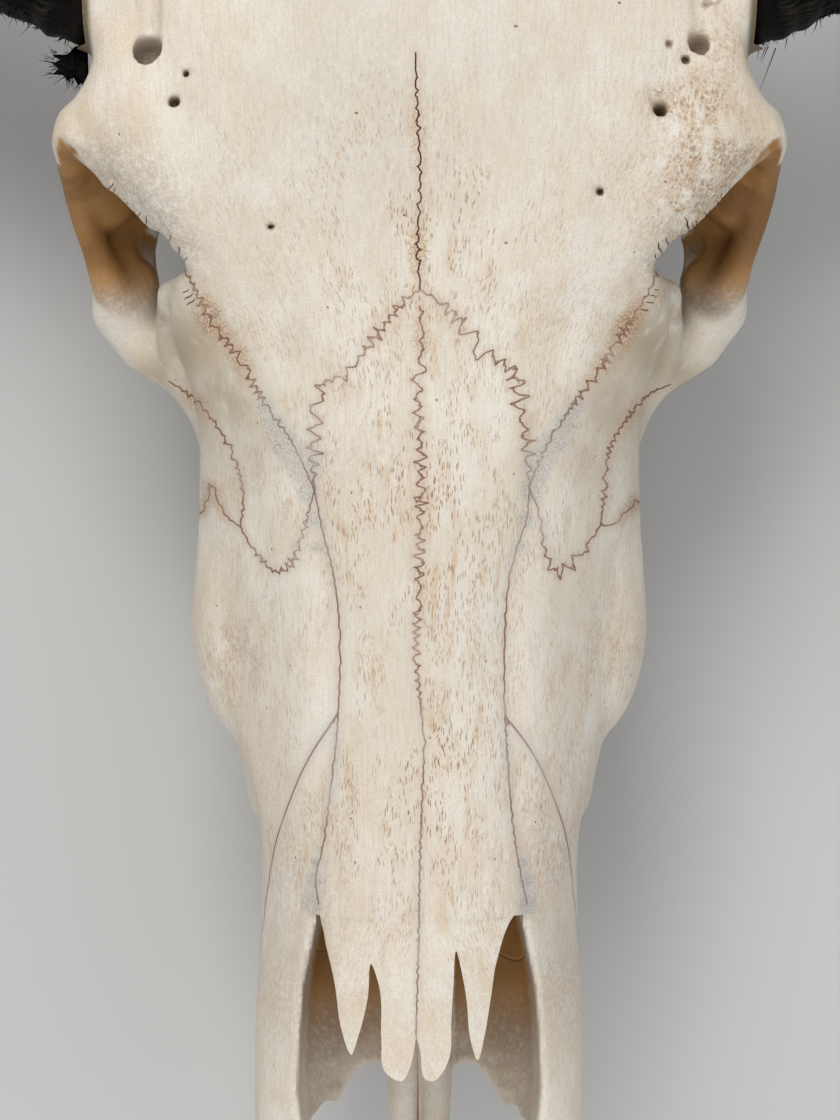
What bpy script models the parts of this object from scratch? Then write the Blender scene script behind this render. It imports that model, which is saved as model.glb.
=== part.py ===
# Water buffalo skull with both horns, life size, lying on its cheek teeth and
# the two processes beside its neck joint. X runs to the skull's side, Y from
# the muzzle to the poll, Z up from the floor.

import math

import bmesh
import bpy
import numpy as np

MM = 0.001
CELL = 3.0
SEAM = 0.3
BONE_FACES = 6200

# Lengths along the skull, and breadths as half widths from the midline, in mm
MUZZLE_TIP = -250.0
BROW_CORNER = (114.5, 134.0, 150.0)
POLL_BACK = 252.0
NECK_PLANE = 264.0
PALATE_SLOPE = 0.21
PALATE_HEIGHT = 30.0
PALATE_LEVEL_Y = 40.0
BITE_REAR_Y = 60.0
NASAL_THICK = 7.0
HORN_BASE_X = 107.0
HORN_CENTRE = (107.0, 214.0, 130.0)
HORN_HALF_LONG = 49.0
HORN_HALF_TALL = 31.0

BONE_COLOUR = (0.74, 0.66, 0.53, 1.0)
HORN_COLOUR = (0.012, 0.011, 0.010, 1.0)

# Heights of the upper surface: one row for each place along the skull,
# one column for each half width
ROOF_X = (0, 18, 34, 52, 70, 90, 112, 130)
ROOF = {
    -252: (98, 98, 97, 90, 80, 70, 60, 50),
    -215: (113, 113, 110, 100, 84, 70, 60, 50),
    -180: (126, 126, 123, 108, 86, 70, 60, 50),
    -150: (137, 137, 134, 113, 88, 70, 60, 50),
    -112: (153, 152, 146, 120, 90, 70, 60, 50),
    -85: (155, 154, 149, 127, 94, 72, 60, 50),
    -60: (156, 155, 151, 132, 102, 76, 60, 50),
    -20: (158, 157, 153, 137, 112, 84, 62, 50),
    20: (160, 159, 156, 142, 120, 92, 66, 50),
    60: (164, 163, 161, 155, 139, 112, 88, 66),
    90: (166, 166, 165, 163, 155, 144, 130, 118),
    125: (168, 168, 168, 167, 166, 161, 151, 142),
    150: (168, 168, 168, 167, 165, 161, 152, 142),
    190: (167, 167, 166, 164, 161, 156, 150, 145),
    225: (163, 162, 161, 158, 154, 149, 145, 142),
    255: (148, 147, 145, 142, 138, 133, 128, 125),
}

# Shallow valleys of the upper surface: their course seen from above, their
# half width and their depth
VALLEYS = (
    (((37, 32), (31, 5), (28, -20), (28, -50), (31, -85), (34, -108)), 7.5, 2.4),
    (((88, 172), (78, 145), (67, 118), (56, 95), (44, 66)), 10, 2.0),
    (((0, 64), (0, -60), (0, -165)), 4.5, 0.9),
)

# Half widths of the face: one row for each place along the skull, one column
# for each height
SIDE_Z = (20, 50, 80, 105, 130, 160)
SIDE = {
    -252: (30, 30, 32, 34, 30, 26),
    -240: (40, 40, 42, 43, 40, 36),
    -225: (46, 46, 49, 50, 47, 42),
    -200: (49, 49, 53, 55, 52, 48),
    -165: (48, 48, 53, 56, 54, 50),
    -120: (47, 48, 52, 53, 52, 50),
    -80: (54, 55, 55, 54, 56, 54),
    -60: (60, 62, 62, 61, 64, 60),
    -30: (62, 66, 69, 70.5, 73, 70),
    20: (62, 67, 71, 72, 73.5, 70),
    50: (57, 63, 69, 71.5, 75, 76.5),
    75: (34, 44, 56, 70, 82, 84),
    100: (18, 30, 46, 56, 66, 80),
}

# Half widths of the shelf that roofs the orbits and carries the horns
SHELF = {
    78: 66, 91: 73, 100: 81.5, 114: 95.5, 125: 106, 133: 115.8, 138: 116, 143: 114.4,
    148: 109.6, 156: 105.2, 163: 104, 176: 105, 200: 108.5, 235: 104.5, 260: 92,
}
SHELF_THICK = 20.0

# Half width and floor height of the nasal passage
PASSAGE = {
    -255: (3, 70), -232: (9, 70), -222: (24, 72), -200: (34, 76), -178: (38.8, 82),
    -160: (38.4, 80), -138: (36.6, 77), -122: (33.4, 74), -108: (31, 70), -60: (30, 64),
    -25: (24, 62), -5: (18, 66),
}

# The gap beside the palate's two tongues: place along the skull, middle and half width
FISSURE = ((-230, 20, 4.5), (-218, 21.5, 8), (-204, 21.5, 9.5), (-191, 19.5, 8.5), (-181, 17.2, 6.5),
           (-173, 14.5, 4))

# Seams between the bones as seen from above: the nasal bone's edge, with its
# two prongs, and the lacrimal bone's edge
NASAL_EDGE = (
    (0, 84), (4.7, 81), (11, 73), (17, 65.5), (23.4, 57.7), (30.6, 54.6),
    (32.6, 40), (33.4, 30), (32.6, 20), (29.5, 6), (26.4, -10), (25, -28),
    (25.8, -50), (28, -72), (30.8, -91), (32.4, -100), (31.6, -112),
    (27, -133), (24.5, -148), (21, -158), (18.9, -151), (16.2, -139.5),
    (15.1, -129), (13.4, -136), (12.1, -149), (10.9, -161), (5.5, -165.5),
    (2.4, -159), (0, -151),
)
LACRIMAL_TOP = (
    (33.2, 24), (41, 37.4), (49.6, 50), (57, 63), (66, 76), (72, 88), (78, 96),
)
LACRIMAL_EDGE = LACRIMAL_TOP + (
    (87, 90), (87, 67), (83, 59), (71.5, 50.5), (63.5, 39),
    (59, 29), (57, 19), (58, 10.5), (54.5, 5), (51, 0), (46.2, -3.7),
    (41.5, -1.6), (38, 6),
)

# Cheek teeth from the front of the row to the back: length and breadth
TEETH = ((13, 14), (16, 17), (17, 19), (22, 22), (27, 23), (30, 22))
TOOTH_GAP = 0.6
ROW_X = ((-80, 49), (-60, 52), (-40, 54), (0, 54.5), (40, 54.5), (62, 53))

# Middle line of the right horn, with its taper
HORN_PATH = (
    (107, 214, 130, 1.0), (140, 230, 127, 0.955), (185, 252, 122, 0.88),
    (228, 274, 119, 0.8), (266, 301, 119, 0.7), (297, 336, 123, 0.59),
    (316, 378, 129, 0.46), (323, 422, 137, 0.3), (319, 462, 147, 0.1),
)
HORN_RINGS = 22
HORN_SIDES = 16


def clear_scene():
    for obj in list(bpy.data.objects):
        bpy.data.objects.remove(obj, do_unlink=True)


def curve(knots, values, at):
    """A smooth curve through values at knots, read at other places"""
    knots = np.asarray(knots, float)
    values = np.asarray(values, float)
    step = np.diff(knots)
    wide = step.reshape((-1,) + (1,) * (values.ndim - 1))
    rise = np.diff(values, axis=0) / wide
    slope = np.concatenate([rise[:1], (rise[:-1] + rise[1:]) / 2, rise[-1:]])
    at = np.clip(at, knots[0], knots[-1])
    i = np.clip(np.searchsorted(knots, at) - 1, 0, len(step) - 1)
    t = ((at - knots[i]) / step[i]).reshape((-1,) + (1,) * (values.ndim - 1))
    start = (1 + 2 * t) * (1 - t) ** 2 * values[i] + t * (1 - t) ** 2 * wide[i] * slope[i]
    end = t * t * (3 - 2 * t) * values[i + 1] + t * t * (t - 1) * wide[i] * slope[i + 1]
    return start + end


def surface(table, columns, rows_at, columns_at):
    """A smooth surface through a table, read on a grid of rows by columns"""
    along = curve(list(table), list(table.values()), rows_at)
    return curve(columns, along.T, columns_at).T


def soft_min(a, b, blend):
    near = np.maximum(blend - np.abs(a - b), 0)
    return np.minimum(a, b) - near * near / (4 * blend)


def soft_max(a, b, blend):
    return -soft_min(-a, -b, blend)


def steepness(grid, cell):
    across, along = np.gradient(grid, cell)
    return np.sqrt(1 + across * across + along * along)


def ball(centre, radii):
    """Distance to an ellipsoid, and the box that holds it"""
    centre = np.asarray(centre, float)
    radii = np.broadcast_to(np.asarray(radii, float), (3,))

    def distance(x, y, z):
        u, v, w = x - centre[0], y - centre[1], z - centre[2]
        near = np.sqrt((u / radii[0]) ** 2 + (v / radii[1]) ** 2 + (w / radii[2]) ** 2)
        slope = np.sqrt((u / radii[0] ** 2) ** 2 + (v / radii[1] ** 2) ** 2
                        + (w / radii[2] ** 2) ** 2)
        return near * (near - 1) / np.maximum(slope, 1e-6)

    return distance, centre - radii, centre + radii


def rod(points, flat=(0, 0, 1), squash=1.0):
    """Distance to a chain of round bars, each point with its radius, thinner
    along flat by squash"""
    points = np.asarray(points, float)
    flat = np.asarray(flat, float) / np.linalg.norm(flat)

    def distance(x, y, z):
        best = None
        for a, b in zip(points[:-1], points[1:]):
            run = b[:3] - a[:3]
            u, v, w = x - a[0], y - a[1], z - a[2]
            t = np.clip((u * run[0] + v * run[1] + w * run[2]) / run.dot(run), 0, 1)
            u, v, w = u - t * run[0], v - t * run[1], w - t * run[2]
            across = u * flat[0] + v * flat[1] + w * flat[2]
            far = np.sqrt(u * u + v * v + w * w + (squash ** 2 - 1) * across ** 2)
            here = far - (a[3] + (b[3] - a[3]) * t)
            best = here if best is None else np.minimum(best, here)
        return best

    reach = points[:, 3:4] * max(1.0, 1 / squash)
    return distance, (points[:, :3] - reach).min(0), (points[:, :3] + reach).max(0)


class Clay:
    """Distances sampled over one half of the skull, built up and cut away"""

    def __init__(self, low, high, cell):
        self.cell = cell
        self.axes = [np.arange(a, b, cell, dtype=np.float32) for a, b in zip(low, high)]
        self.axes[0] += cell / 2
        self.field = np.full([len(a) for a in self.axes], 50, np.float32)

    def patch(self, low, high, reach):
        cuts = []
        for axis, a, b in zip(self.axes, low, high):
            first = np.searchsorted(axis, a - reach)
            last = np.searchsorted(axis, b + reach)
            cuts.append(slice(first, max(last, first)))
        x, y, z = [axis[cut] for axis, cut in zip(self.axes, cuts)]
        return tuple(cuts), (x[:, None, None], y[None, :, None], z[None, None, :])

    def add(self, shape, blend=4.0):
        distance, low, high = shape
        cuts, places = self.patch(low, high, blend + 2 * self.cell)
        self.field[cuts] = soft_min(self.field[cuts], distance(*places), blend)

    def carve(self, shape, blend=2.0):
        distance, low, high = shape
        cuts, places = self.patch(low, high, blend + 2 * self.cell)
        self.field[cuts] = soft_max(self.field[cuts], -distance(*places), blend)


def palate(y):
    return PALATE_HEIGHT + (PALATE_LEVEL_Y - y) * PALATE_SLOPE


def bite(y):
    return np.maximum((BITE_REAR_Y - y) * PALATE_SLOPE, 0)


def roof_height(clay):
    """Height of the upper surface over each place of the flat grid"""
    roof = surface(ROOF, ROOF_X, clay.axes[1], clay.axes[0]).T.astype(np.float32)
    x, y = clay.axes[0][:, None], clay.axes[1][None]
    for course, breadth, depth in VALLEYS:
        near = np.full(roof.shape, 1e9, np.float32)
        for (ax, ay), (bx, by) in zip(course[:-1], course[1:]):
            run = np.hypot(bx - ax, by - ay)
            t = np.clip(((x - ax) * (bx - ax) + (y - ay) * (by - ay)) / run ** 2, 0, 1)
            near = np.minimum(near, np.hypot(x - ax - t * (bx - ax), y - ay - t * (by - ay)))
        roof -= depth * np.exp(-(near / breadth) ** 2)
    return roof


def face(clay, roof):
    """The muzzle and cheeks, from the tip to the orbits"""
    y = clay.axes[1][None, :, None]
    z = clay.axes[2][None, None, :]
    above = (z - roof[:, :, None]) / steepness(roof, clay.cell)[:, :, None]
    side = surface(SIDE, SIDE_Z, clay.axes[1], clay.axes[2]).astype(np.float32)
    beside = clay.axes[0][:, None, None] - side[None]
    beside = beside / steepness(side, clay.cell)[None]
    block = soft_max(above, beside, 9)
    block = soft_max(block, palate(y) - z, 8)
    block = soft_max(block, MUZZLE_TIP - y, 12)
    block = soft_max(block, y - 100, 10)
    clay.field = soft_min(clay.field, block.astype(np.float32), 4)


def shelf(clay, roof):
    """The broad frontal bone over the orbits, out to the horns"""
    y = clay.axes[1][None, :, None]
    z = clay.axes[2][None, None, :]
    half = curve(list(SHELF), list(SHELF.values()), clay.axes[1])
    lean = np.sqrt(1 + np.gradient(half, clay.cell) ** 2)
    beside = (clay.axes[0][:, None] - half[None]) / lean[None]
    slope = steepness(roof, clay.cell)[:, :, None]
    above = (z - roof[:, :, None]) / slope
    below = (roof[:, :, None] - SHELF_THICK - z) / slope
    plate = soft_max(above, beside[:, :, None], 7)
    plate = soft_max(plate, below, 7)
    plate = soft_max(plate, 80 - y, 8)
    plate = soft_max(plate, y - POLL_BACK, 26)
    clay.field = soft_min(clay.field, plate.astype(np.float32), 2)


def cranium(clay):
    """Braincase, skull base, ear region and the back of the head"""
    clay.add(ball((0, 172, 104), (63, 82, 58)), 10)
    clay.add(ball((0, 95, 100), (44, 60, 54)), 12)
    clay.add(ball((0, 226, 92), (82, 42, 60)), 14)
    clay.add(ball((0, 236, 60), (62, 30, 40)), 12)
    clay.add(rod(((60, 214, 96, 20), (74, 208, 90, 15))), 12)
    clay.add(rod(((0, 256, 34, 17), (0, 205, 36, 16), (0, 150, 50, 13), (0, 110, 62, 13))), 10)
    clay.add(ball((31, 207, 38), (11, 17, 15)), 6)
    clay.add(rod(((46, 214, 58, 8), (64, 216, 68, 7.5))), 8)
    clay.add(rod(((54, 248, 66, 17), (50, 245, 36, 14), (45, 237, -6, 9.5)), (0.3, 1, 0.2), 1.5), 10)
    clay.add(rod(((14, 86, 48, 4.5), (15, 118, 44, 4.5), (17, 140, 52, 5)), (1, 0, 0), 1.3), 5)
    clay.add(rod(((15, 82, 58, 9), (16, 112, 56, 9), (18, 138, 60, 8)), (1, 0, 0), 2.0), 6)


def neck_joint(clay):
    """The flat nape, the two condyles and the blind start of the spinal canal"""
    y = clay.axes[1][None, :, None]
    z = clay.axes[2][None, None, :]
    lean = (z - 100) * 0.10
    clay.field = soft_max(clay.field, y - NECK_PLANE + np.abs(lean) - lean, 14)
    clay.add(rod(((22, 262, 50, 12), (25, 268, 32, 13), (16, 262, 20, 9))), 6)
    clay.carve(rod(((0, 300, 56, 16), (0, 240, 50, 13))), 4)
    crest = ((0, 258, 131, 8), (40, 254, 124, 8), (68, 244, 106, 8), (70, 240, 84, 8))
    clay.add(rod(crest), 8)


def horn_stub(clay):
    """The bone core's root, which the horn sheath is slipped over"""
    x, y, z = HORN_CENTRE
    squash = HORN_HALF_LONG / HORN_HALF_TALL
    stub = ((x - 30, y - 8, z + 4, HORN_HALF_LONG - 4), (x + 8, y, z, HORN_HALF_LONG - 1))
    clay.add(rod(stub, (0, 0, 1), squash), 12)
    clay.field = np.maximum(clay.field, clay.axes[0][:, None, None] - (HORN_BASE_X + 18))


def cheek(clay):
    """Facial crest, lower rim of the orbit and the arch behind it"""
    clay.add(ball((62, -24, 103), (11, 28, 15)), 12)
    crest = ((63, -24, 101, 9), (62.5, 15, 100, 8.5), (62.5, 40, 100, 8.5), (75.5, 62, 98, 9.5),
             (91, 73.5, 95, 11), (98.5, 84, 93, 11.5), (99, 100, 96, 10), (101, 116, 98, 9))
    clay.add(rod(crest), 8)
    clay.add(ball((96, 110, 103), (12, 33, 20)), 6)
    arch = ((98, 108, 93, 11), (102, 132, 89, 11), (103, 158, 85, 10.5), (99, 184, 84, 11.5),
            (86, 203, 87, 15), (68, 210, 89, 18))
    clay.add(rod(arch, (1, 0.15, 0), 1.6), 7)


def orbit(clay):
    """The eye's hollow, open to the front and side, the gap behind it and the
    rims that stand round it"""
    hollow = ((86, 116, 118, 22.5), (114, 91, 128, 23.5))
    clay.carve(rod(hollow, (0.70, 0.72, 0), 0.80), 3)
    clay.carve(rod(((64, 118, 112, 15), (76, 98, 98, 9.5), (80, 103, 60, 11))), 5)
    clay.carve(rod(((76.5, 92.5, 162, 3), (83, 101, 98, 6))), 2)
    clay.carve(rod(((81, 98, 162, 3.4), (87, 106, 98, 7))), 2)
    flange = ((65, 85, 147, 4.5), (72.5, 88, 140, 4.8), (80, 86, 127, 5.2), (81, 77, 112, 6.3),
              (76, 63, 103, 9.5))
    clay.add(rod(flange), 4)
    brow = ((BROW_CORNER[0] - 4, BROW_CORNER[1] + 3, BROW_CORNER[2] - 5, 4.5),
            (93.5, 119.5, 148, 4.5), (78.5, 105, 149, 4.5), (70, 95, 150, 4.5))
    clay.add(rod(brow), 5)
    bar = ((101, 118, 100, 11), (106.5, 128, 112, 10.5), (109.5, 133, 127, 9), (110, 137, 143, 7))
    clay.add(rod(bar, (0.62, 0.75, 0.15), 1.7), 5)
    rim = ((112.6, 132.5, 139, 4.2), (113, 127.5, 124, 4.2), (112.8, 119.5, 111, 4.4),
           (110, 110, 105, 4.8), (106, 100, 102, 5.2), (102, 91, 101, 6))
    clay.add(rod(rim), 4)


def muzzle_hollows(clay, roof):
    """The nasal passage, open in front, and the fissures of the palate"""
    y = clay.axes[1][None, :, None]
    z = clay.axes[2][None, None, :]
    half, low = curve(list(PASSAGE), list(PASSAGE.values()), clay.axes[1]).T
    beside = clay.axes[0][:, None, None] - half[None, :, None]
    below = low[None, :, None] - z
    # The lid of the passage opens towards the tip
    lid = roof + np.clip(-112 - clay.axes[1], 0, 40)[None] * 3 - NASAL_THICK
    above = z - lid[:, :, None]
    room = soft_max(soft_max(beside, below, 12), above, 5)
    room = soft_max(room, y + 6, 8)
    clay.field = soft_max(clay.field, -room.astype(np.float32), 4)
    for before, after in zip(FISSURE[:-1], FISSURE[1:]):
        for t in (0, 0.34, 0.67):
            y, x, size = np.array(before) * (1 - t) + np.array(after) * t
            clay.carve(rod(((x, y, 50, size), (x, y, 125, size))), 3)
    clay.add(rod(((5.5, -238, 90, 6), (5.4, -200, 84, 5.5), (5.2, -150, 80, 6)), (1, 0, 0), 1.05), 3)
    clay.carve(rod(((0, -262, 70, 3.2), (0, -230, 70, 3.2), (0, -230, 120, 3.2), (0, -262, 120, 3.2))), 2)


def outline_distance(points, x, y):
    """Signed distance to a closed outline on a flat grid, below 0 inside"""
    points = np.asarray(points, float)
    best = np.full(np.broadcast(x, y).shape, 1e9)
    inside = np.zeros(best.shape, bool)
    for a, b in zip(points, np.roll(points, -1, axis=0)):
        run = b - a
        u, v = x - a[0], y - a[1]
        t = np.clip((u * run[0] + v * run[1]) / run.dot(run), 0, 1)
        best = np.minimum(best, (u - t * run[0]) ** 2 + (v - t * run[1]) ** 2)
        spans = (a[1] <= y) != (b[1] <= y)
        if a[1] != b[1]:
            inside ^= spans & (u < v * run[0] / run[1])
    return np.where(inside, -1, 1) * np.sqrt(best)


def nasal_plates(clay, roof):
    """The nasal bones' plate, which roofs the passage and runs on over it"""
    # The plate runs a little past the prongs, which its cutter shapes
    edge = [(-3, 84)] + list(NASAL_EDGE[:17]) + [(25.5, -164), (12, -172), (-3, -172)]
    plan = outline_distance(edge, clay.axes[0][:, None], clay.axes[1][None, :])
    top = curve((-200, -168, -112, -60, 100), (146, 149, 153.2, 156, 166), clay.axes[1])
    arched = top[None] - (clay.axes[0][:, None] / 34) ** 2 * 6.5
    joined = np.clip((clay.axes[1][None] + 122) / 30, 0, 1)
    lid = arched * (1 - joined) + roof * joined
    z = clay.axes[2][None, None, :]
    middle = lid[:, :, None] - NASAL_THICK / 2
    plate = soft_max(np.abs(z - middle) - NASAL_THICK / 2, plan[:, :, None] - 0.4, 4)
    clay.field = soft_min(clay.field, plate.astype(np.float32), 3)


def tooth_sockets(clay):
    """The swollen edge of the jaw that holds the cheek teeth"""
    row = []
    for y, x in ROW_X:
        row.append((x, y, palate(y) + 7, 12.5 if y > -50 else 9.5))
    clay.add(rod(row), 9)
    clay.add(rod(((53, 62, 40, 12), (46, 74, 58, 13), (40, 84, 76, 14))), 8)


def skull_clay():
    clay = Clay((0, -262, -24), (136, 292, 182), CELL)
    roof = roof_height(clay)
    face(clay, roof)
    shelf(clay, roof)
    cranium(clay)
    neck_joint(clay)
    horn_stub(clay)
    cheek(clay)
    orbit(clay)
    muzzle_hollows(clay, roof)
    nasal_plates(clay, roof)
    tooth_sockets(clay)
    return clay


CORNERS = [(i, j, k) for i in (0, 1) for j in (0, 1) for k in (0, 1)]
EDGES = [(a, b) for a in range(8) for b in range(a + 1, 8)
         if sum(abs(p - q) for p, q in zip(CORNERS[a], CORNERS[b])) == 1]


def split_cells():
    """For each pattern of inside corners, whether either side falls apart"""
    apart = np.zeros(256, bool)
    for pattern in range(256):
        for wanted in (0, 1):
            group = [c for c in range(8) if (pattern >> c & 1) == wanted]
            seen = group[:1]
            for c in seen:
                for a, b in EDGES:
                    other = b if a == c else a if b == c else None
                    if other in group and other not in seen:
                        seen.append(other)
            apart[pattern] |= len(seen) < len(group)
    return apart


def corner_views(grid):
    nx, ny, nz = grid.shape
    return [grid[i:nx - 1 + i, j:ny - 1 + j, k:nz - 1 + k] for i, j, k in CORNERS]


def net(clay):
    """A closed mesh over the surface where the mirrored distances are 0"""
    field = np.concatenate([clay.field[::-1], clay.field])
    field = np.where(field == 0, np.float32(1e-4), field)
    apart = split_cells()
    for _ in range(30):
        pattern = sum(view.astype(np.int32) << n for n, view in enumerate(corner_views(field < 0)))
        loose = np.argwhere(apart[pattern])
        if not len(loose):
            break
        for corner in CORNERS:
            i, j, k = (loose + corner).T
            field[i, j, k] = np.minimum(field[i, j, k], -0.05)
    inside = field < 0
    mixed = (pattern > 0) & (pattern < 255)
    cells = np.argwhere(mixed)
    values = np.stack([view[mixed] for view in corner_views(field)], 1)
    total = np.zeros((len(cells), 3))
    count = np.zeros(len(cells))
    for a, b in EDGES:
        crossed = (values[:, a] < 0) != (values[:, b] < 0)
        t = values[:, a] / np.where(crossed, values[:, a] - values[:, b], 1)
        start, end = np.array(CORNERS[a]), np.array(CORNERS[b])
        total += np.where(crossed[:, None], start + t[:, None] * (end - start), 0)
        count += crossed
    origin = [-clay.axes[0][-1], clay.axes[1][0], clay.axes[2][0]]
    points = (cells + total / count[:, None]) * clay.cell + origin
    number = np.full(mixed.shape, -1)
    number[mixed] = np.arange(len(cells))
    quads = []
    for axis in range(3):
        u, v = (axis + 1) % 3, (axis + 2) % 3
        low = [slice(None)] * 3
        high = [slice(None)] * 3
        low[axis], high[axis] = slice(0, -1), slice(1, None)
        edge = np.argwhere(inside[tuple(low)] != inside[tuple(high)])
        ring = []
        for du, dv in ((-1, -1), (0, -1), (0, 0), (-1, 0)):
            place = edge.copy()
            place[:, u] += du
            place[:, v] += dv
            ring.append(number[tuple(place.T)])
        ring = np.stack(ring, 1)
        outward = inside[tuple(edge.T)]
        quads.append(np.where(outward[:, None], ring, ring[:, ::-1]))
    return points, np.concatenate(quads)


def new_object(name, points, faces):
    mesh = bpy.data.meshes.new(name)
    mesh.from_pydata([tuple(p) for p in np.asarray(points) * MM], [], [tuple(f) for f in faces])
    obj = bpy.data.objects.new(name, mesh)
    bpy.context.scene.collection.objects.link(obj)
    return obj


def apply_modifiers(obj):
    depsgraph = bpy.context.evaluated_depsgraph_get()
    mesh = bpy.data.meshes.new_from_object(obj.evaluated_get(depsgraph))
    obj.modifiers.clear()
    obj.data = mesh


def remove(obj):
    bpy.data.objects.remove(obj, do_unlink=True)


def keep_largest(obj):
    """Drop all but the largest connected surface"""
    mesh = obj.data
    ends = np.array([tuple(edge.vertices) for edge in mesh.edges])
    label = np.arange(len(mesh.vertices))
    while True:
        low = label[ends].min(1)
        lower = label.copy()
        np.minimum.at(lower, ends[:, 0], low)
        np.minimum.at(lower, ends[:, 1], low)
        lower = lower[lower]
        if (lower == label).all():
            break
        label = lower
    kept = label == np.bincount(label).argmax()
    if kept.all():
        return
    number = np.cumsum(kept) - 1
    points = [tuple(v.co) for v, keep in zip(mesh.vertices, kept) if keep]
    faces = [[number[i] for i in p.vertices] for p in mesh.polygons if kept[p.vertices[0]]]
    obj.data = bpy.data.meshes.new(mesh.name)
    obj.data.from_pydata(points, [], faces)


def boolean(obj, other, operation):
    modifier = obj.modifiers.new(operation, 'BOOLEAN')
    modifier.object = other
    modifier.operation = operation
    modifier.solver = 'MANIFOLD'
    apply_modifiers(obj)


def grown(points, grow):
    """An outline moved outwards by the same amount all round"""
    points = np.asarray(points, float)
    before = points - np.roll(points, 1, axis=0)
    after = np.roll(points, -1, axis=0) - points
    before /= np.linalg.norm(before, axis=1)[:, None]
    after /= np.linalg.norm(after, axis=1)[:, None]
    area = np.cross(points, np.roll(points, -1, axis=0)).sum()
    turn = 1 if area > 0 else -1
    normal_in = turn * np.stack([before[:, 1], -before[:, 0]], 1)
    normal_out = turn * np.stack([after[:, 1], -after[:, 0]], 1)
    middle = normal_in + normal_out
    return points + grow * 2 * middle / (middle ** 2).sum(1)[:, None]


def prism(points, low, high, across=(0, 1, 2)):
    """A closed prism over an outline, between two levels. across orders the
    outline's two directions and the prism's own"""
    points = np.asarray(points, float)
    area = np.cross(points, np.roll(points, -1, axis=0)).sum()
    if (area > 0) != (across in ((0, 1, 2), (1, 2, 0), (2, 0, 1))):
        points = points[::-1]
    count = len(points)
    corners = np.zeros((2 * count, 3))
    for row, level in enumerate((low, high)):
        rows = slice(row * count, (row + 1) * count)
        corners[rows, across[0]] = points[:, 0]
        corners[rows, across[1]] = points[:, 1]
        corners[rows, across[2]] = level
    faces = [tuple(range(count))[::-1], tuple(range(count, 2 * count))]
    for i in range(count):
        j = (i + 1) % count
        faces.append((i, j, count + j, count + i))
    cutter = new_object("cutter", corners, faces)
    bm = bmesh.new()
    bm.from_mesh(cutter.data)
    bmesh.ops.triangulate(bm, faces=bm.faces)
    bm.to_mesh(cutter.data)
    bm.free()
    return cutter


def part_off(name, rest, make_cutter):
    """Cut one bone from the rest, leaving a thin seam between them"""
    piece = new_object(name, [], [])
    piece.data = rest.data.copy()
    inner, outer = make_cutter(0), make_cutter(SEAM)
    boolean(piece, inner, 'INTERSECT')
    boolean(rest, outer, 'DIFFERENCE')
    remove(inner)
    remove(outer)
    keep_largest(piece)
    keep_largest(rest)
    return piece


def frontal_cutter(grow):
    """Everything above the orbits and behind the nasal and lacrimal bones"""
    half = list(NASAL_EDGE[1:7] + LACRIMAL_TOP) + [(90, 104), (140, 112), (140, 320)]
    plan = [(-x, y) for x, y in half[::-1]] + [NASAL_EDGE[0]] + half
    body = prism(grown(plan, grow), 128 - grow, 220)
    for side in (1, -1):
        stub = prism(grown([(76 * side, 150), (140 * side, 150), (140 * side, 300),
                            (76 * side, 300)], grow), 101 - grow, 180)
        boolean(body, stub, 'UNION')
        remove(stub)
    return body


def braincase_cutter(grow):
    half = [(56, 79), (60, 97), (79, 98), (79, 167), (150, 167), (150, 320)]
    plan = [(-x, y) for x, y in half[::-1]] + half
    return prism(grown(plan, grow), -20, 200)


def right_half_cutter():
    return prism([(SEAM / 2, -300), (160, -300), (160, 330), (SEAM / 2, 330)], -20, 260)


def nasal_cutter(grow):
    plan = [(-4, 84)] + list(NASAL_EDGE[1:]) + [(-4, -151)]
    return prism(grown(plan, grow), 137 - grow, 200)


def lacrimal_cutter(grow):
    return prism(grown(LACRIMAL_EDGE, grow), 98 - grow, 200)


def zygomatic_cutter(grow):
    plan = [(79, 80), (79, 64), (71.5, 50.5), (63.5, 39), (59, 29), (58, 12), (65, 14), (68, 24),
            (73, 16), (84, 20), (140, 20), (140, 200), (79, 200)]
    return prism(grown(plan, grow), 76 - grow, 200)


def premaxilla_cutter(grow):
    """The half space in front of the seam that slopes down across the cheek"""
    a, b, c = np.array((27, -50, 152)), np.array((50, -111, 118)), np.array((48, -150, 78))
    normal = np.cross(b - a, c - a)
    normal = normal / np.linalg.norm(normal)
    if normal[1] > 0:
        normal = -normal
    start = a - normal * grow
    side = np.cross(normal, (0, 0, 1.0))
    side /= np.linalg.norm(side)
    up = np.cross(side, normal)
    corners = []
    for depth in (0, 300):
        for i, j in ((-1, -1), (1, -1), (1, 1), (-1, 1)):
            corners.append(start + normal * depth + side * i * 300 + up * j * 300)
    faces = [(3, 2, 1, 0), (4, 5, 6, 7), (0, 1, 5, 4), (1, 2, 6, 5), (2, 3, 7, 6), (3, 0, 4, 7)]
    cutter = new_object("cutter", corners, faces)
    bm = bmesh.new()
    bm.from_mesh(cutter.data)
    bmesh.ops.recalc_face_normals(bm, faces=bm.faces)
    bmesh.ops.triangulate(bm, faces=bm.faces)
    bm.to_mesh(cutter.data)
    bm.free()
    return cutter


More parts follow.
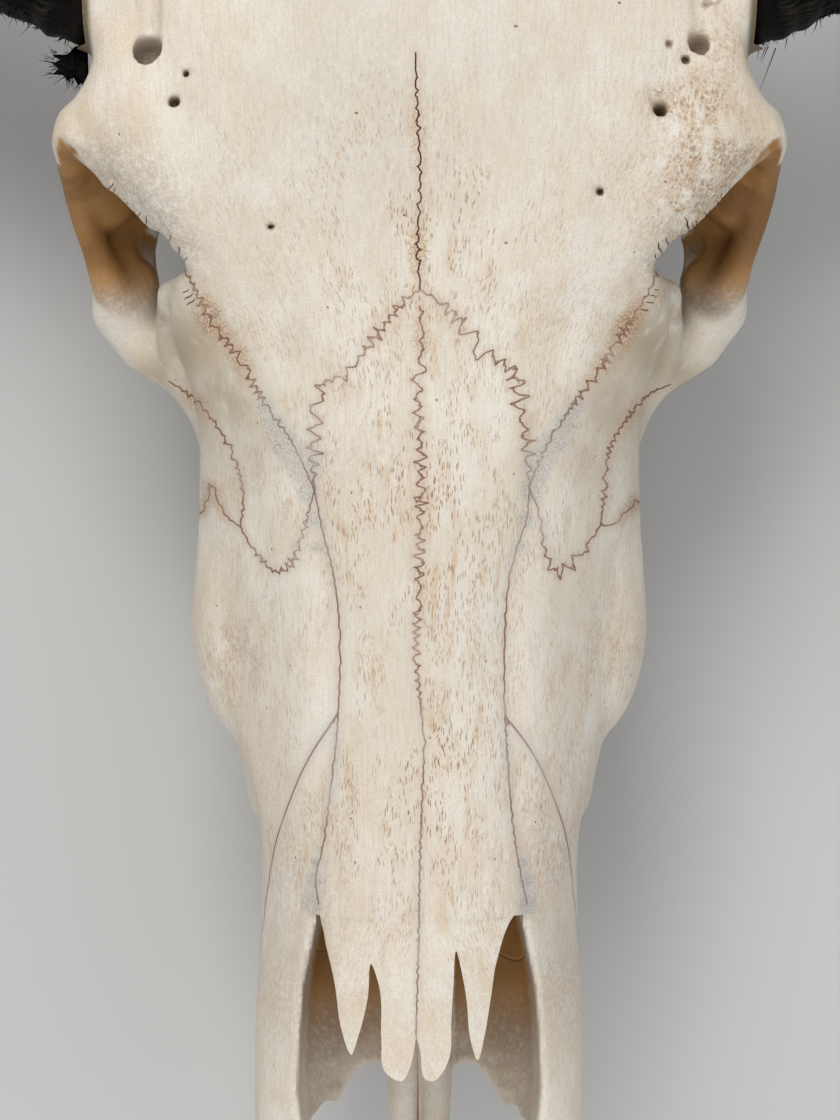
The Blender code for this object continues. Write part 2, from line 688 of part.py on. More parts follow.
def tooth(length, breadth, lobes, x, y):
    """One cheek tooth: crescent lobes side by side, with a worn, ridged crown"""
    sides = 12
    top = palate(y) + 9
    levels = ((top, 0.86), (bite(y) + 14, 0.95), (bite(y) + 3, 1.0), (bite(y), 0.93))
    points = []
    for row, (level, scale) in enumerate(levels):
        for n in range(sides):
            turn = 2 * math.pi * n / sides
            waist = 1 - 0.13 * abs(math.sin(lobes * turn)) if lobes > 1 else 1
            px = x + math.cos(turn) * breadth / 2 * scale * waist
            py = y + math.sin(turn) * length / 2 * scale
            lift = 0 if row < 3 else bite(py) - bite(y) + 1.6 * (n % 2)
            points.append((px, py, max(level + lift, 0.0)))
    faces = [tuple(range(sides))]
    for row in range(len(levels) - 1):
        for n in range(sides):
            m = (n + 1) % sides
            a, b = row * sides, (row + 1) * sides
            faces.append((a + n, b + n, b + m, a + m))
    last = (len(levels) - 1) * sides
    centre = len(points)
    points.append((x, y, max(bite(y) + 2.2, 0.6)))
    for n in range(sides):
        faces.append((last + (n + 1) % sides, last + n, centre))
    return new_object("tooth", points, faces)


def tooth_row():
    """The right cheek teeth, from the last one forwards"""
    row_y, row_x = zip(*ROW_X)
    teeth = []
    rear = BITE_REAR_Y + 2.0
    for number, (length, breadth) in enumerate(reversed(TEETH)):
        y = rear - length / 2
        rear -= length + TOOTH_GAP
        x = float(np.interp(y, row_y, row_x))
        teeth.append(tooth(length, breadth, 2 if number < 3 else 1, x, y))
    return teeth


def mirrored(obj, name):
    points = [(-v.co.x / MM, v.co.y / MM, v.co.z / MM) for v in obj.data.vertices]
    faces = [tuple(p.vertices)[::-1] for p in obj.data.polygons]
    return new_object(name, points, faces)


def horn(name, side):
    """A horn sheath: a long bent cone, oval in section, with growth ridges"""
    path = np.array(HORN_PATH, float)
    knots = np.arange(len(path))
    at = np.linspace(0, len(path) - 1, HORN_RINGS)
    middle = curve(knots, path, at)
    points = []
    for ring, (x, y, z, size) in enumerate(middle):
        ahead = middle[min(ring + 1, len(middle) - 1), :3] - middle[max(ring - 1, 0), :3]
        ahead /= np.linalg.norm(ahead)
        # The first rings turn from the flat base to square across the horn
        swing = min(ring / 5, 1.0)
        ahead = ahead * swing + np.array((1.0, 0, 0)) * (1 - swing)
        ahead /= np.linalg.norm(ahead)
        back = np.cross((0, 0, 1.0), ahead)
        back /= np.linalg.norm(back)
        up = np.cross(ahead, back)
        ridge = 1 + (0.02 if ring % 2 else -0.01) * (ring < 18)
        for n in range(HORN_SIDES):
            turn = 2 * math.pi * n / HORN_SIDES
            flat = 1 - 0.10 * math.cos(turn) ** 2 * math.sin(turn) ** 2
            reach = back * math.cos(turn) * HORN_HALF_LONG + up * math.sin(turn) * HORN_HALF_TALL
            points.append(np.array((x, y, z)) + reach * size * ridge * flat)
    points = np.array(points)
    points[:HORN_SIDES, 0] = HORN_BASE_X
    faces = [tuple(range(HORN_SIDES))[::-1]]
    for ring in range(HORN_RINGS - 1):
        for n in range(HORN_SIDES):
            m = (n + 1) % HORN_SIDES
            a, b = ring * HORN_SIDES, (ring + 1) * HORN_SIDES
            faces.append((a + n, a + m, b + m, b + n))
    faces.append(tuple(range((HORN_RINGS - 1) * HORN_SIDES, HORN_RINGS * HORN_SIDES)))
    if side < 0:
        points[:, 0] *= -1
        faces = [face[::-1] for face in faces]
    return new_object(name, points, faces)


def material(name, colour, roughness):
    mat = bpy.data.materials.new(name)
    mat.use_nodes = True
    shader = mat.node_tree.nodes["Principled BSDF"]
    shader.inputs["Base Color"].default_value = colour
    shader.inputs["Roughness"].default_value = roughness
    shader.inputs["Metallic"].default_value = 0.0
    return mat


def whole_skull():
    points, faces = net(skull_clay())
    skull = new_object("skull", points, faces)
    keep_largest(skull)
    thin = skull.modifiers.new("fewer faces", 'DECIMATE')
    thin.ratio = BONE_FACES / (2 * len(faces))
    apply_modifiers(skull)
    floor = prism([(-200, -300), (200, -300), (200, 330), (-200, 330)], 0, 260)
    boolean(skull, floor, 'INTERSECT')
    remove(floor)
    for side in (1, -1):
        edge = HORN_BASE_X - SEAM
        outside = prism([(edge * side, 165), (200 * side, 165), (200 * side, 330),
                         (edge * side, 330)], 60, 200)
        boolean(skull, outside, 'DIFFERENCE')
        remove(outside)
    return skull


def build():
    clear_scene()
    skull = whole_skull()
    nodes = {}
    nodes["frontal"] = part_off("frontal", skull, frontal_cutter)
    nodes["braincase"] = part_off("braincase", skull, braincase_cutter)
    half = right_half_cutter()
    boolean(skull, half, 'INTERSECT')
    remove(half)
    keep_largest(skull)
    nodes["nasal_right"] = part_off("nasal_right", skull, nasal_cutter)
    beyond = prism([(-4, -113), (33, -113), (33, -180), (-4, -180)], 137, 200)
    boolean(skull, beyond, 'DIFFERENCE')
    remove(beyond)
    keep_largest(skull)
    nodes["lacrimal_right"] = part_off("lacrimal_right", skull, lacrimal_cutter)
    nodes["zygomatic_right"] = part_off("zygomatic_right", skull, zygomatic_cutter)
    nodes["premaxilla_right"] = part_off("premaxilla_right", skull, premaxilla_cutter)
    for piece in tooth_row():
        boolean(skull, piece, 'UNION')
        remove(piece)
    keep_largest(skull)
    skull.name = "maxilla_right"
    nodes["maxilla_right"] = skull
    for name in ("nasal", "lacrimal", "zygomatic", "premaxilla", "maxilla"):
        nodes[name + "_left"] = mirrored(nodes[name + "_right"], name + "_left")
    nodes["horn_right"] = horn("horn_right", 1)
    nodes["horn_left"] = horn("horn_left", -1)
    bone = material("bone", BONE_COLOUR, 0.55)
    sheath = material("horn sheath", HORN_COLOUR, 0.45)
    # The middle of the whole box comes over the origin
    corners = np.array([tuple(v.co) for obj in nodes.values() for v in obj.data.vertices])
    middle = (corners.min(0) + corners.max(0)) / 2
    for name, obj in nodes.items():
        obj.data.materials.clear()
        obj.data.materials.append(sheath if name.startswith("horn") else bone)
        for vert in obj.data.vertices:
            vert.co.x -= middle[0]
            vert.co.y -= middle[1]
        obj.data.shade_smooth()
        obj.data.set_sharp_from_angle(angle=math.radians(40))
        print(name, sum(len(p.vertices) - 2 for p in obj.data.polygons))


build()
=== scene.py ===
import math

import bmesh
import bpy
import numpy as np
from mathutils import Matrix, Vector, kdtree


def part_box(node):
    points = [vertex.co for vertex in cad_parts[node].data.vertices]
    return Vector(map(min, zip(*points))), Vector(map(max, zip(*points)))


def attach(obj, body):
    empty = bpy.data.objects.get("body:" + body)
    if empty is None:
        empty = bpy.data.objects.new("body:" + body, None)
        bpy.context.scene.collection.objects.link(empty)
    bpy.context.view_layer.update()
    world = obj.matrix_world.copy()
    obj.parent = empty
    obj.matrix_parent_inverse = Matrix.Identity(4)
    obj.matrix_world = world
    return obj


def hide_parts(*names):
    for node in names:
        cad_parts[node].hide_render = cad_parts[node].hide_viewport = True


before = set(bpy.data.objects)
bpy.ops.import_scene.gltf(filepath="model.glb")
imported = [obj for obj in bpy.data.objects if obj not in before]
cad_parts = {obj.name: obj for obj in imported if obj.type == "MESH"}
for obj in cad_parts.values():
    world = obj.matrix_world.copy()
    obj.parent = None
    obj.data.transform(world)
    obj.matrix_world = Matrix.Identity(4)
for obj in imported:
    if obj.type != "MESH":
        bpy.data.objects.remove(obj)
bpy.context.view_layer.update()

# The floor, the lights and the camera
# A plain pale sheet that the skull lies on, lit by wide soft boxes as in a studio
# that photographs museum pieces, with the camera straight above the face
MM = 0.001
FLOOR_COLOUR = (0.56, 0.56, 0.555, 1.0)
FLOOR_REACH = 12.0
SKY_COLOUR = (0.88, 0.90, 0.94, 1)
SKY_STRENGTH = 0.40
# The camera stands one metre above the forehead. The frame is 840 by 1120 pixels,
# and the face's middle line lies half a pixel left of its centre
FOREHEAD_HEIGHT = 0.166
CAMERA_HEIGHT = FOREHEAD_HEIGHT + 1.0
CAMERA_LENS = 103.0
CAMERA_SENSOR = 36.0
FRAME_TALL = 1120
OFF_CENTRE = 0.5

# The skull is worked in millimetres from its own point, the middle of the face.
# The braincase's front plane and the horn's base plane give its place in the frame
FACE_POINT = Vector((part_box("horn_right")[0][0] - 107 * MM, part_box("braincase")[0][1] - 79 * MM, 0))


def new_mesh(name, points, faces):
    """A mesh object from points in mm and faces of three or four corners"""
    mesh = bpy.data.meshes.new(name)
    points = np.asarray(points, np.float64) * MM + np.array(FACE_POINT)
    if isinstance(faces, np.ndarray):
        faces = faces.astype(np.int32)
        count, corners = faces.shape
        mesh.vertices.add(len(points))
        mesh.vertices.foreach_set("co", points.ravel())
        mesh.loops.add(count * corners)
        mesh.loops.foreach_set("vertex_index", faces.ravel())
        mesh.polygons.add(count)
        mesh.polygons.foreach_set("loop_start",
                                  np.arange(0, count * corners, corners, dtype=np.int32))
        mesh.update(calc_edges=True)
    else:
        mesh.from_pydata([tuple(p) for p in points], [], [tuple(f) for f in faces])
    obj = bpy.data.objects.new(name, mesh)
    bpy.context.scene.collection.objects.link(obj)
    return obj


reach = FLOOR_REACH / MM
floor = new_mesh("floor", [(-reach, -reach, 0), (reach, -reach, 0),
                           (reach, reach, 0), (-reach, reach, 0)], [(0, 1, 2, 3)])
floor_paint = bpy.data.materials.new("floor paint")
floor_paint.use_nodes = True
shader = floor_paint.node_tree.nodes["Principled BSDF"]
shader.inputs["Base Color"].default_value = FLOOR_COLOUR
shader.inputs["Roughness"].default_value = 0.85
floor.data.materials.append(floor_paint)

world = bpy.data.worlds.new("studio")
bpy.context.scene.world = world
world.use_nodes = True
sky = world.node_tree.nodes["Background"]
sky.inputs["Color"].default_value = SKY_COLOUR
sky.inputs["Strength"].default_value = SKY_STRENGTH


def soft_box(name, place, aim, size, power, colour):
    """A square soft light at a place, aimed at a point"""
    light = bpy.data.lights.new(name, 'AREA')
    light.shape = 'SQUARE'
    light.size = size
    light.energy = power
    light.color = colour
    obj = bpy.data.objects.new(name, light)
    obj.location = place
    obj.rotation_euler = (Vector(aim) - Vector(place)).to_track_quat('-Z', 'Y').to_euler()
    bpy.context.scene.collection.objects.link(obj)


bpy.context.scene.view_settings.view_transform = 'Standard'
soft_box("key light", (-0.3, 1.0, 1.45), (0, -0.05, 0.1), 0.8, 18.5, (1.0, 0.98, 0.95))
soft_box("fill light", (1.2, -0.6, 1.3), (0.1, -0.1, 0), 1.4, 6, (0.95, 0.97, 1.0))
soft_box("muzzle light", (-0.3, -1.4, 1.0), (0, -0.3, 0), 1.2, 9, (1.0, 0.985, 0.96))

camera = bpy.data.objects.new("camera", bpy.data.cameras.new("camera"))
camera.data.lens = CAMERA_LENS
camera.data.sensor_width = CAMERA_SENSOR
camera.data.clip_start = 0.05
bpy.context.scene.collection.objects.link(camera)
bpy.context.scene.camera = camera
pixel = (CAMERA_HEIGHT - FOREHEAD_HEIGHT) * CAMERA_SENSOR / CAMERA_LENS / FRAME_TALL
camera.location = FACE_POINT + Vector((OFF_CENTRE * pixel, 0, CAMERA_HEIGHT))

# The bone, grown as one form
# A dry buffalo skull is one shell of fused plates, hollow where the eyes and the
# breath passage were. It is built up and cut away here as one mass, and the plates
# are parted along their sutures further down. All sizes are in millimetres
CELL = 1.25
MUZZLE_TIP = -250.0
BROW_CORNER = (114.5, 134.0, 150.0)
POLL_BACK = 252.0
NECK_PLANE = 264.0
PALATE_SLOPE = 0.21
PALATE_HEIGHT = 30.0
PALATE_LEVEL_Y = 40.0
BITE_REAR_Y = 60.0
NASAL_THICK = 7.0
SHELF_THICK = 20.0
HORN_BASE_X = 107.0
HORN_CENTRE = (107.0, 214.0, 130.0)
HORN_HALF_LONG = 49.0
HORN_HALF_TALL = 31.0
HORN_GAP = 0.3
# Heights of the upper surface: one row for each place along the skull, one column
# for each half width
ROOF_X = (0, 18, 34, 52, 70, 90, 112, 130)
ROOF = {
    -252: (98, 98, 97, 90, 80, 70, 60, 50),
    -215: (113, 113, 110, 100, 84, 70, 60, 50),
    -180: (126, 126, 123, 108, 86, 70, 60, 50),
    -150: (137, 137, 134, 113, 88, 70, 60, 50),
    -112: (153, 152, 146, 120, 90, 70, 60, 50),
    -85: (155, 154, 149, 127, 94, 72, 60, 50),
    -60: (156, 155, 151, 132, 102, 76, 60, 50),
    -20: (158, 157, 153, 137, 112, 84, 62, 50),
    20: (160, 159, 156, 142, 120, 92, 66, 50),
    60: (164, 163, 161, 155, 139, 112, 88, 66),
    90: (166, 166, 165, 163, 155, 144, 130, 118),
    125: (168, 168, 168, 167, 166, 161, 151, 142),
    150: (168, 168, 168, 167, 165, 161, 152, 142),
    190: (167, 167, 166, 164, 161, 156, 150, 145),
    225: (163, 162, 161, 158, 154, 149, 145, 142),
    255: (148, 147, 145, 142, 138, 133, 128, 125),
}
# Shallow valleys of the upper surface: their course, half width and depth
VALLEYS = (
    (((37, 32), (31, 5), (28, -20), (28, -50), (31, -85), (34, -108)), 7.5, 2.4),
    (((88, 172), (78, 145), (67, 118), (56, 95), (44, 66)), 10, 2.0),
    (((0, 64), (0, -60), (0, -165)), 4.5, 0.9),
)
# Half widths of the face: one row for each place along the skull, one column for
# each height
SIDE_Z = (20, 50, 80, 105, 130, 160)
SIDE = {
    -252: (30, 30, 32, 34, 30, 26),
    -240: (40, 40, 42, 43, 40, 36),
    -225: (46, 46, 49, 50, 47, 42),
    -200: (49, 49, 53, 55, 52, 48),
    -165: (48, 48, 53, 56, 54, 50),
    -120: (47, 48, 52, 53, 52, 50),
    -80: (54, 55, 55, 54, 56, 54),
    -60: (60, 62, 62, 61, 64, 60),
    -30: (62, 66, 69, 70.5, 73, 70),
    20: (62, 67, 71, 72, 73.5, 70),
    50: (57, 63, 69, 71.5, 75, 76.5),
    75: (34, 44, 56, 70, 82, 84),
    100: (18, 30, 46, 56, 66, 80),
}
# Half widths of the shelf that roofs the orbits and carries the horns
SHELF = {
    78: 66, 91: 73, 100: 81.5, 114: 95.5, 125: 106, 133: 115.8, 138: 116, 143: 114.4,
    148: 109.6, 156: 105.2, 163: 104, 176: 105, 200: 108.5, 235: 104.5, 260: 92,
}
# Half width and floor height of the breath passage
PASSAGE = {
    -255: (3, 70), -232: (9, 70), -222: (24, 72), -200: (34, 76), -178: (38.8, 82),
    -160: (38.4, 80), -138: (36.6, 77), -122: (33.4, 74), -108: (31, 70), -60: (30, 64),
    -25: (24, 62), -5: (18, 66),
}
# The gaps beside the palate's two tongues: place along, middle and half width
FISSURE = ((-230, 20, 4.5), (-218, 21.5, 8), (-204, 21.5, 9.5), (-191, 19.5, 8.5),
           (-181, 17.2, 6.5), (-173, 14.5, 4))
# The edge of the nasal bones' plate, seen from above
NASAL_EDGE = (
    (0, 84), (4.7, 81), (11, 73), (17, 65.5), (23.4, 57.7), (30.6, 54.6),
    (32.6, 40), (33.4, 30), (32.6, 20), (29.5, 6), (26.4, -10), (25, -28),
    (25.8, -50), (28, -72), (30.8, -91), (32.4, -100), (31.6, -112),
    (27, -133), (24.5, -148), (21, -158), (18.9, -151), (16.2, -139.5),
    (15.1, -129), (13.4, -136), (12.1, -149), (10.9, -161), (5.5, -165.5),
    (2.4, -159), (0, -151),
)
# The row of cheek teeth: place along, and how far it stands from the middle
ROW_X = ((-80, 49), (-60, 52), (-40, 54), (0, 54.5), (40, 54.5), (62, 53))


def curve(knots, values, at):
    """A smooth curve through values at knots, read at other places"""
    knots = np.asarray(knots, float)
    values = np.asarray(values, float)
    step = np.diff(knots)
    wide = step.reshape((-1,) + (1,) * (values.ndim - 1))
    rise = np.diff(values, axis=0) / wide
    slope = np.concatenate([rise[:1], (rise[:-1] + rise[1:]) / 2, rise[-1:]])
    at = np.clip(at, knots[0], knots[-1])
    i = np.clip(np.searchsorted(knots, at) - 1, 0, len(step) - 1)
    t = ((at - knots[i]) / step[i]).reshape((-1,) + (1,) * (values.ndim - 1))
    start = (1 + 2 * t) * (1 - t) ** 2 * values[i] + t * (1 - t) ** 2 * wide[i] * slope[i]
    end = t * t * (3 - 2 * t) * values[i + 1] + t * t * (t - 1) * wide[i] * slope[i + 1]
    return start + end


def surface(table, columns, rows_at, columns_at):
    """A smooth surface through a table, read on a grid of rows by columns"""
    along = curve(list(table), list(table.values()), rows_at)
    return curve(columns, along.T, columns_at).T


def soft_min(a, b, blend):
    near = np.maximum(blend - np.abs(a - b), 0)
    return np.minimum(a, b) - near * near / (4 * blend)


def soft_max(a, b, blend):
    return -soft_min(-a, -b, blend)


def steepness(grid, cell):
    across, along = np.gradient(grid, cell)
    return np.sqrt(1 + across * across + along * along)


def ball(centre, radii):
    """Distance to an ellipsoid, and the box that holds it"""
    centre = np.asarray(centre, float)
    radii = np.broadcast_to(np.asarray(radii, float), (3,))

    def distance(x, y, z):
        u, v, w = x - centre[0], y - centre[1], z - centre[2]
        near = np.sqrt((u / radii[0]) ** 2 + (v / radii[1]) ** 2 + (w / radii[2]) ** 2)
        slope = np.sqrt((u / radii[0] ** 2) ** 2 + (v / radii[1] ** 2) ** 2
                        + (w / radii[2] ** 2) ** 2)
        return near * (near - 1) / np.maximum(slope, 1e-6)

    return distance, centre - radii, centre + radii


def rod(points, flat=(0, 0, 1), squash=1.0):
    """Distance to a chain of round bars, each point with its radius, thinner
    along flat by squash"""
    points = np.asarray(points, float)
    flat = np.asarray(flat, float) / np.linalg.norm(flat)

    def distance(x, y, z):
        best = None
        for a, b in zip(points[:-1], points[1:]):
            run = b[:3] - a[:3]
            u, v, w = x - a[0], y - a[1], z - a[2]
            t = np.clip((u * run[0] + v * run[1] + w * run[2]) / run.dot(run), 0, 1)
            u, v, w = u - t * run[0], v - t * run[1], w - t * run[2]
            across = u * flat[0] + v * flat[1] + w * flat[2]
            far = np.sqrt(u * u + v * v + w * w + (squash ** 2 - 1) * across ** 2)
            here = far - (a[3] + (b[3] - a[3]) * t)
            best = here if best is None else np.minimum(best, here)
        return best

    reach = points[:, 3:4] * max(1.0, 1 / squash)
    return distance, (points[:, :3] - reach).min(0), (points[:, :3] + reach).max(0)


class Clay:
    """Distances sampled over one half of the skull, built up and cut away"""

    def __init__(self, low, high, cell):
        self.cell = cell
        self.axes = [np.arange(a, b, cell, dtype=np.float32) for a, b in zip(low, high)]
        self.axes[0] += cell / 2
        self.field = np.full([len(a) for a in self.axes], 50, np.float32)

    def grid(self):
        """The places of the three axes, each along its own way through the block"""
        x, y, z = self.axes
        return x[:, None, None], y[None, :, None], z[None, None, :]

    def patch(self, low, high, reach):
        """The part of the block round a shape, and its places"""
        cuts = []
        for axis, a, b in zip(self.axes, low, high):
            first = np.searchsorted(axis, a - reach)
            last = np.searchsorted(axis, b + reach)
            cuts.append(slice(first, max(last, first)))
        x, y, z = [axis[cut] for axis, cut in zip(self.axes, cuts)]
        return tuple(cuts), (x[:, None, None], y[None, :, None], z[None, None, :])

    def add(self, shape, blend=4.0):
        distance, low, high = shape
        cuts, places = self.patch(low, high, blend + 2 * self.cell)
        self.field[cuts] = soft_min(self.field[cuts], distance(*places), blend)

    def carve(self, shape, blend=2.0):
        distance, low, high = shape
        cuts, places = self.patch(low, high, blend + 2 * self.cell)
        self.field[cuts] = soft_max(self.field[cuts], -distance(*places), blend)

    def roughen(self, size, depth, seed, shape=None, reach=8.0):
        """Wear the surface down by up to depth, in dents about size across, near a
        shape or everywhere"""
        cuts, weight = (slice(None), slice(None), slice(None)), 1.0
        if shape is not None:
            distance, low, high = shape
            cuts, places = self.patch(low, high, reach)
            weight = np.clip(1 - distance(*places) / reach, 0, 1)
        rng = np.random.RandomState(seed)
        spots = [axis / size - self.axes[n][0] / size for n, axis in enumerate(self.axes)]
        dents = rng.uniform(0, 1, [int(spot[-1]) + 2 for spot in spots]).astype(np.float32)
        for n, (spot, cut) in enumerate(zip(spots, cuts)):
            spot = spot[cut]
            first = spot.astype(int)
            part = spot - first
            part = (part * part * (3 - 2 * part)).reshape([-1 if n == k else 1 for k in range(3)])
            dents = np.take(dents, first, n) * (1 - part) + np.take(dents, first + 1, n) * part
        self.field[cuts] += (dents * depth * weight).astype(np.float32)

    def mirror(self):
        """Make the half into the whole"""
        self.field = np.concatenate([self.field[::-1], self.field])
        self.axes[0] = np.concatenate([-self.axes[0][::-1], self.axes[0]])


def palate(y):
    return PALATE_HEIGHT + (PALATE_LEVEL_Y - y) * PALATE_SLOPE


def bite(y):
    return np.maximum((BITE_REAR_Y - y) * PALATE_SLOPE, 0)


def roof_height(clay):
    """Height of the upper surface over each place of the flat grid"""
    roof = surface(ROOF, ROOF_X, clay.axes[1], clay.axes[0]).T.astype(np.float32)
    x, y = clay.axes[0][:, None], clay.axes[1][None]
    for course, breadth, depth in VALLEYS:
        near = np.full(roof.shape, 1e9, np.float32)
        for (ax, ay), (bx, by) in zip(course[:-1], course[1:]):
            run = np.hypot(bx - ax, by - ay)
            t = np.clip(((x - ax) * (bx - ax) + (y - ay) * (by - ay)) / run ** 2, 0, 1)
            near = np.minimum(near, np.hypot(x - ax - t * (bx - ax), y - ay - t * (by - ay)))
        roof -= depth * np.exp(-(near / breadth) ** 2)
    return roof


def face(clay, roof):
    """The muzzle and cheeks, from the tip to the orbits"""
    x, y, z = clay.grid()
    above = (z - roof[:, :, None]) / steepness(roof, clay.cell)[:, :, None]
    side = surface(SIDE, SIDE_Z, clay.axes[1], clay.axes[2]).astype(np.float32)
    beside = (x - side[None]) / steepness(side, clay.cell)[None]
    block = soft_max(above, beside, 9)
    block = soft_max(block, palate(y) - z, 8)
    block = soft_max(block, MUZZLE_TIP - y, 12)
    block = soft_max(block, y - 100, 10)
    clay.field = soft_min(clay.field, block.astype(np.float32), 4)


def shelf(clay, roof):
    """The broad frontal bone over the orbits, out to the horns"""
    x, y, z = clay.grid()
    half = curve(list(SHELF), list(SHELF.values()), clay.axes[1])
    lean = np.sqrt(1 + np.gradient(half, clay.cell) ** 2)
    beside = (clay.axes[0][:, None] - half[None]) / lean[None]
    slope = steepness(roof, clay.cell)[:, :, None]
    above = (z - roof[:, :, None]) / slope
    below = (roof[:, :, None] - SHELF_THICK - z) / slope
    plate = soft_max(above, beside[:, :, None], 7)
    plate = soft_max(plate, below, 7)
    plate = soft_max(plate, 80 - y, 8)
    plate = soft_max(plate, y - POLL_BACK, 26)
    clay.field = soft_min(clay.field, plate.astype(np.float32), 2)


def cranium(clay):
    """Braincase, skull base, ear region and the back of the head"""
    clay.add(ball((0, 172, 104), (63, 82, 58)), 10)
    clay.add(ball((0, 95, 100), (44, 60, 54)), 12)
    clay.add(ball((0, 226, 92), (82, 42, 60)), 14)
    clay.add(ball((0, 236, 60), (62, 30, 40)), 12)
    clay.add(rod(((60, 214, 96, 20), (74, 208, 90, 15))), 12)
    clay.add(rod(((0, 256, 34, 17), (0, 205, 36, 16), (0, 150, 50, 13), (0, 110, 62, 13))), 10)
    clay.add(ball((31, 207, 38), (11, 17, 15)), 6)
    clay.add(rod(((46, 214, 58, 8), (64, 216, 68, 7.5))), 8)
    clay.add(rod(((54, 248, 66, 17), (50, 245, 36, 14), (45, 237, -6, 9.5)),
                 (0.3, 1, 0.2), 1.5), 10)
    clay.add(rod(((14, 86, 48, 4.5), (15, 118, 44, 4.5), (17, 140, 52, 5)), (1, 0, 0), 1.3), 5)
    clay.add(rod(((15, 82, 58, 9), (16, 112, 56, 9), (18, 138, 60, 8)), (1, 0, 0), 2.0), 6)


def neck_joint(clay):
    """The flat nape, the two condyles and the blind start of the spinal canal"""
    x, y, z = clay.grid()
    lean = (z - 100) * 0.10
    clay.field = soft_max(clay.field, y - NECK_PLANE + np.abs(lean) - lean, 14)
    clay.add(rod(((22, 262, 50, 12), (25, 268, 32, 13), (16, 262, 20, 9))), 6)
    clay.carve(rod(((0, 300, 56, 16), (0, 240, 50, 13))), 4)
    clay.add(rod(((0, 258, 131, 8), (40, 254, 124, 8), (68, 244, 106, 8), (70, 240, 84, 8))), 8)


def horn_stub(clay):
    """The bone core's root, which the horn sheath is slipped over"""
    x, y, z = HORN_CENTRE
    squash = HORN_HALF_LONG / HORN_HALF_TALL
    stub = ((x - 30, y - 8, z + 4, HORN_HALF_LONG - 4), (x + 8, y, z, HORN_HALF_LONG - 1))
    clay.add(rod(stub, (0, 0, 1), squash), 12)
    clay.field = np.maximum(clay.field, clay.grid()[0] - (HORN_BASE_X + 18))


def cheek(clay):
    """Facial crest, lower rim of the orbit and the arch behind it"""
    clay.add(ball((62, -24, 103), (11, 28, 15)), 12)
    crest = ((63, -24, 101, 9), (62.5, 15, 100, 8.5), (62.5, 40, 100, 8.5), (75.5, 62, 98, 9.5),
             (91, 73.5, 95, 11), (98.5, 84, 93, 11.5), (99, 100, 96, 10), (101, 116, 98, 9))
    clay.add(rod(crest), 8)
    clay.add(ball((96, 110, 103), (12, 33, 20)), 6)
    arch = ((98, 108, 93, 11), (102, 132, 89, 11), (103, 158, 85, 10.5), (99, 184, 84, 11.5),
            (86, 203, 87, 15), (68, 210, 89, 18))
    clay.add(rod(arch, (1, 0.15, 0), 1.6), 7)


def orbit(clay):
    """The eye's hollow, open to the front and side, the gap behind it and the
    rims that stand round it"""
    hollow = ((86, 116, 118, 22.5), (114, 91, 128, 23.5))
    clay.carve(rod(hollow, (0.70, 0.72, 0), 0.80), 3)
    clay.carve(rod(((64, 118, 112, 15), (76, 98, 98, 9.5), (80, 103, 60, 11))), 5)
    clay.carve(rod(((76.5, 92.5, 162, 3), (83, 101, 98, 6))), 2)
    clay.carve(rod(((81, 98, 162, 3.4), (87, 106, 98, 7))), 2)
    flange = ((65, 85, 147, 4.5), (72.5, 88, 140, 4.8), (80, 86, 127, 5.2), (81, 77, 112, 6.3),
              (76, 63, 103, 9.5))
    clay.add(rod(flange), 4)
    brow = ((BROW_CORNER[0] - 4, BROW_CORNER[1] + 3, BROW_CORNER[2] - 5, 4.5),
            (93.5, 119.5, 148, 4.5), (78.5, 105, 149, 4.5), (70, 95, 150, 4.5))
    clay.add(rod(brow), 5)
    bar = ((101, 118, 100, 11), (106.5, 128, 112, 10.5), (109.5, 133, 127, 9), (110, 137, 143, 7))
    clay.add(rod(bar, (0.62, 0.75, 0.15), 1.7), 5)
    rim = ((112.6, 132.5, 139, 4.2), (113, 127.5, 124, 4.2), (112.8, 119.5, 111, 4.4),
           (110, 110, 105, 4.8), (106, 100, 102, 5.2), (102, 91, 101, 6))
    clay.add(rod(rim), 4)


def muzzle_hollows(clay, roof):
    """The nasal passage, open in front, and the fissures of the palate"""
    x, y, z = clay.grid()
    half, low = curve(list(PASSAGE), list(PASSAGE.values()), clay.axes[1]).T
    beside = x - half[None, :, None]
    below = low[None, :, None] - z
    # The lid of the passage opens towards the tip
    lid = roof + np.clip(-112 - clay.axes[1], 0, 40)[None] * 3 - NASAL_THICK
    above = z - lid[:, :, None]
    room = soft_max(soft_max(beside, below, 12), above, 5)
    room = soft_max(room, y + 6, 8)
    clay.field = soft_max(clay.field, -room.astype(np.float32), 4)
    for before, after in zip(FISSURE[:-1], FISSURE[1:]):
        for t in (0, 0.34, 0.67):
            y, x, size = np.array(before) * (1 - t) + np.array(after) * t
            clay.carve(rod(((x, y, 50, size), (x, y, 125, size))), 3)
    clay.add(rod(((5.5, -238, 90, 6), (5.4, -200, 84, 5.5), (5.2, -150, 80, 6)),
                 (1, 0, 0), 1.05), 3)
    clay.carve(rod(((0, -262, 70, 3.2), (0, -230, 70, 3.2),
                    (0, -230, 120, 3.2), (0, -262, 120, 3.2))), 2)


def outline_distance(points, x, y):
    """Signed distance to a closed outline on a flat grid, below 0 inside"""
    points = np.asarray(points, float)
    best = np.full(np.broadcast(x, y).shape, 1e9)
    inside = np.zeros(best.shape, bool)
    for a, b in zip(points, np.roll(points, -1, axis=0)):
        run = b - a
        u, v = x - a[0], y - a[1]
        t = np.clip((u * run[0] + v * run[1]) / run.dot(run), 0, 1)
        best = np.minimum(best, (u - t * run[0]) ** 2 + (v - t * run[1]) ** 2)
        spans = (a[1] <= y) != (b[1] <= y)
        if a[1] != b[1]:
            inside ^= spans & (u < v * run[0] / run[1])
    return np.where(inside, -1, 1) * np.sqrt(best)


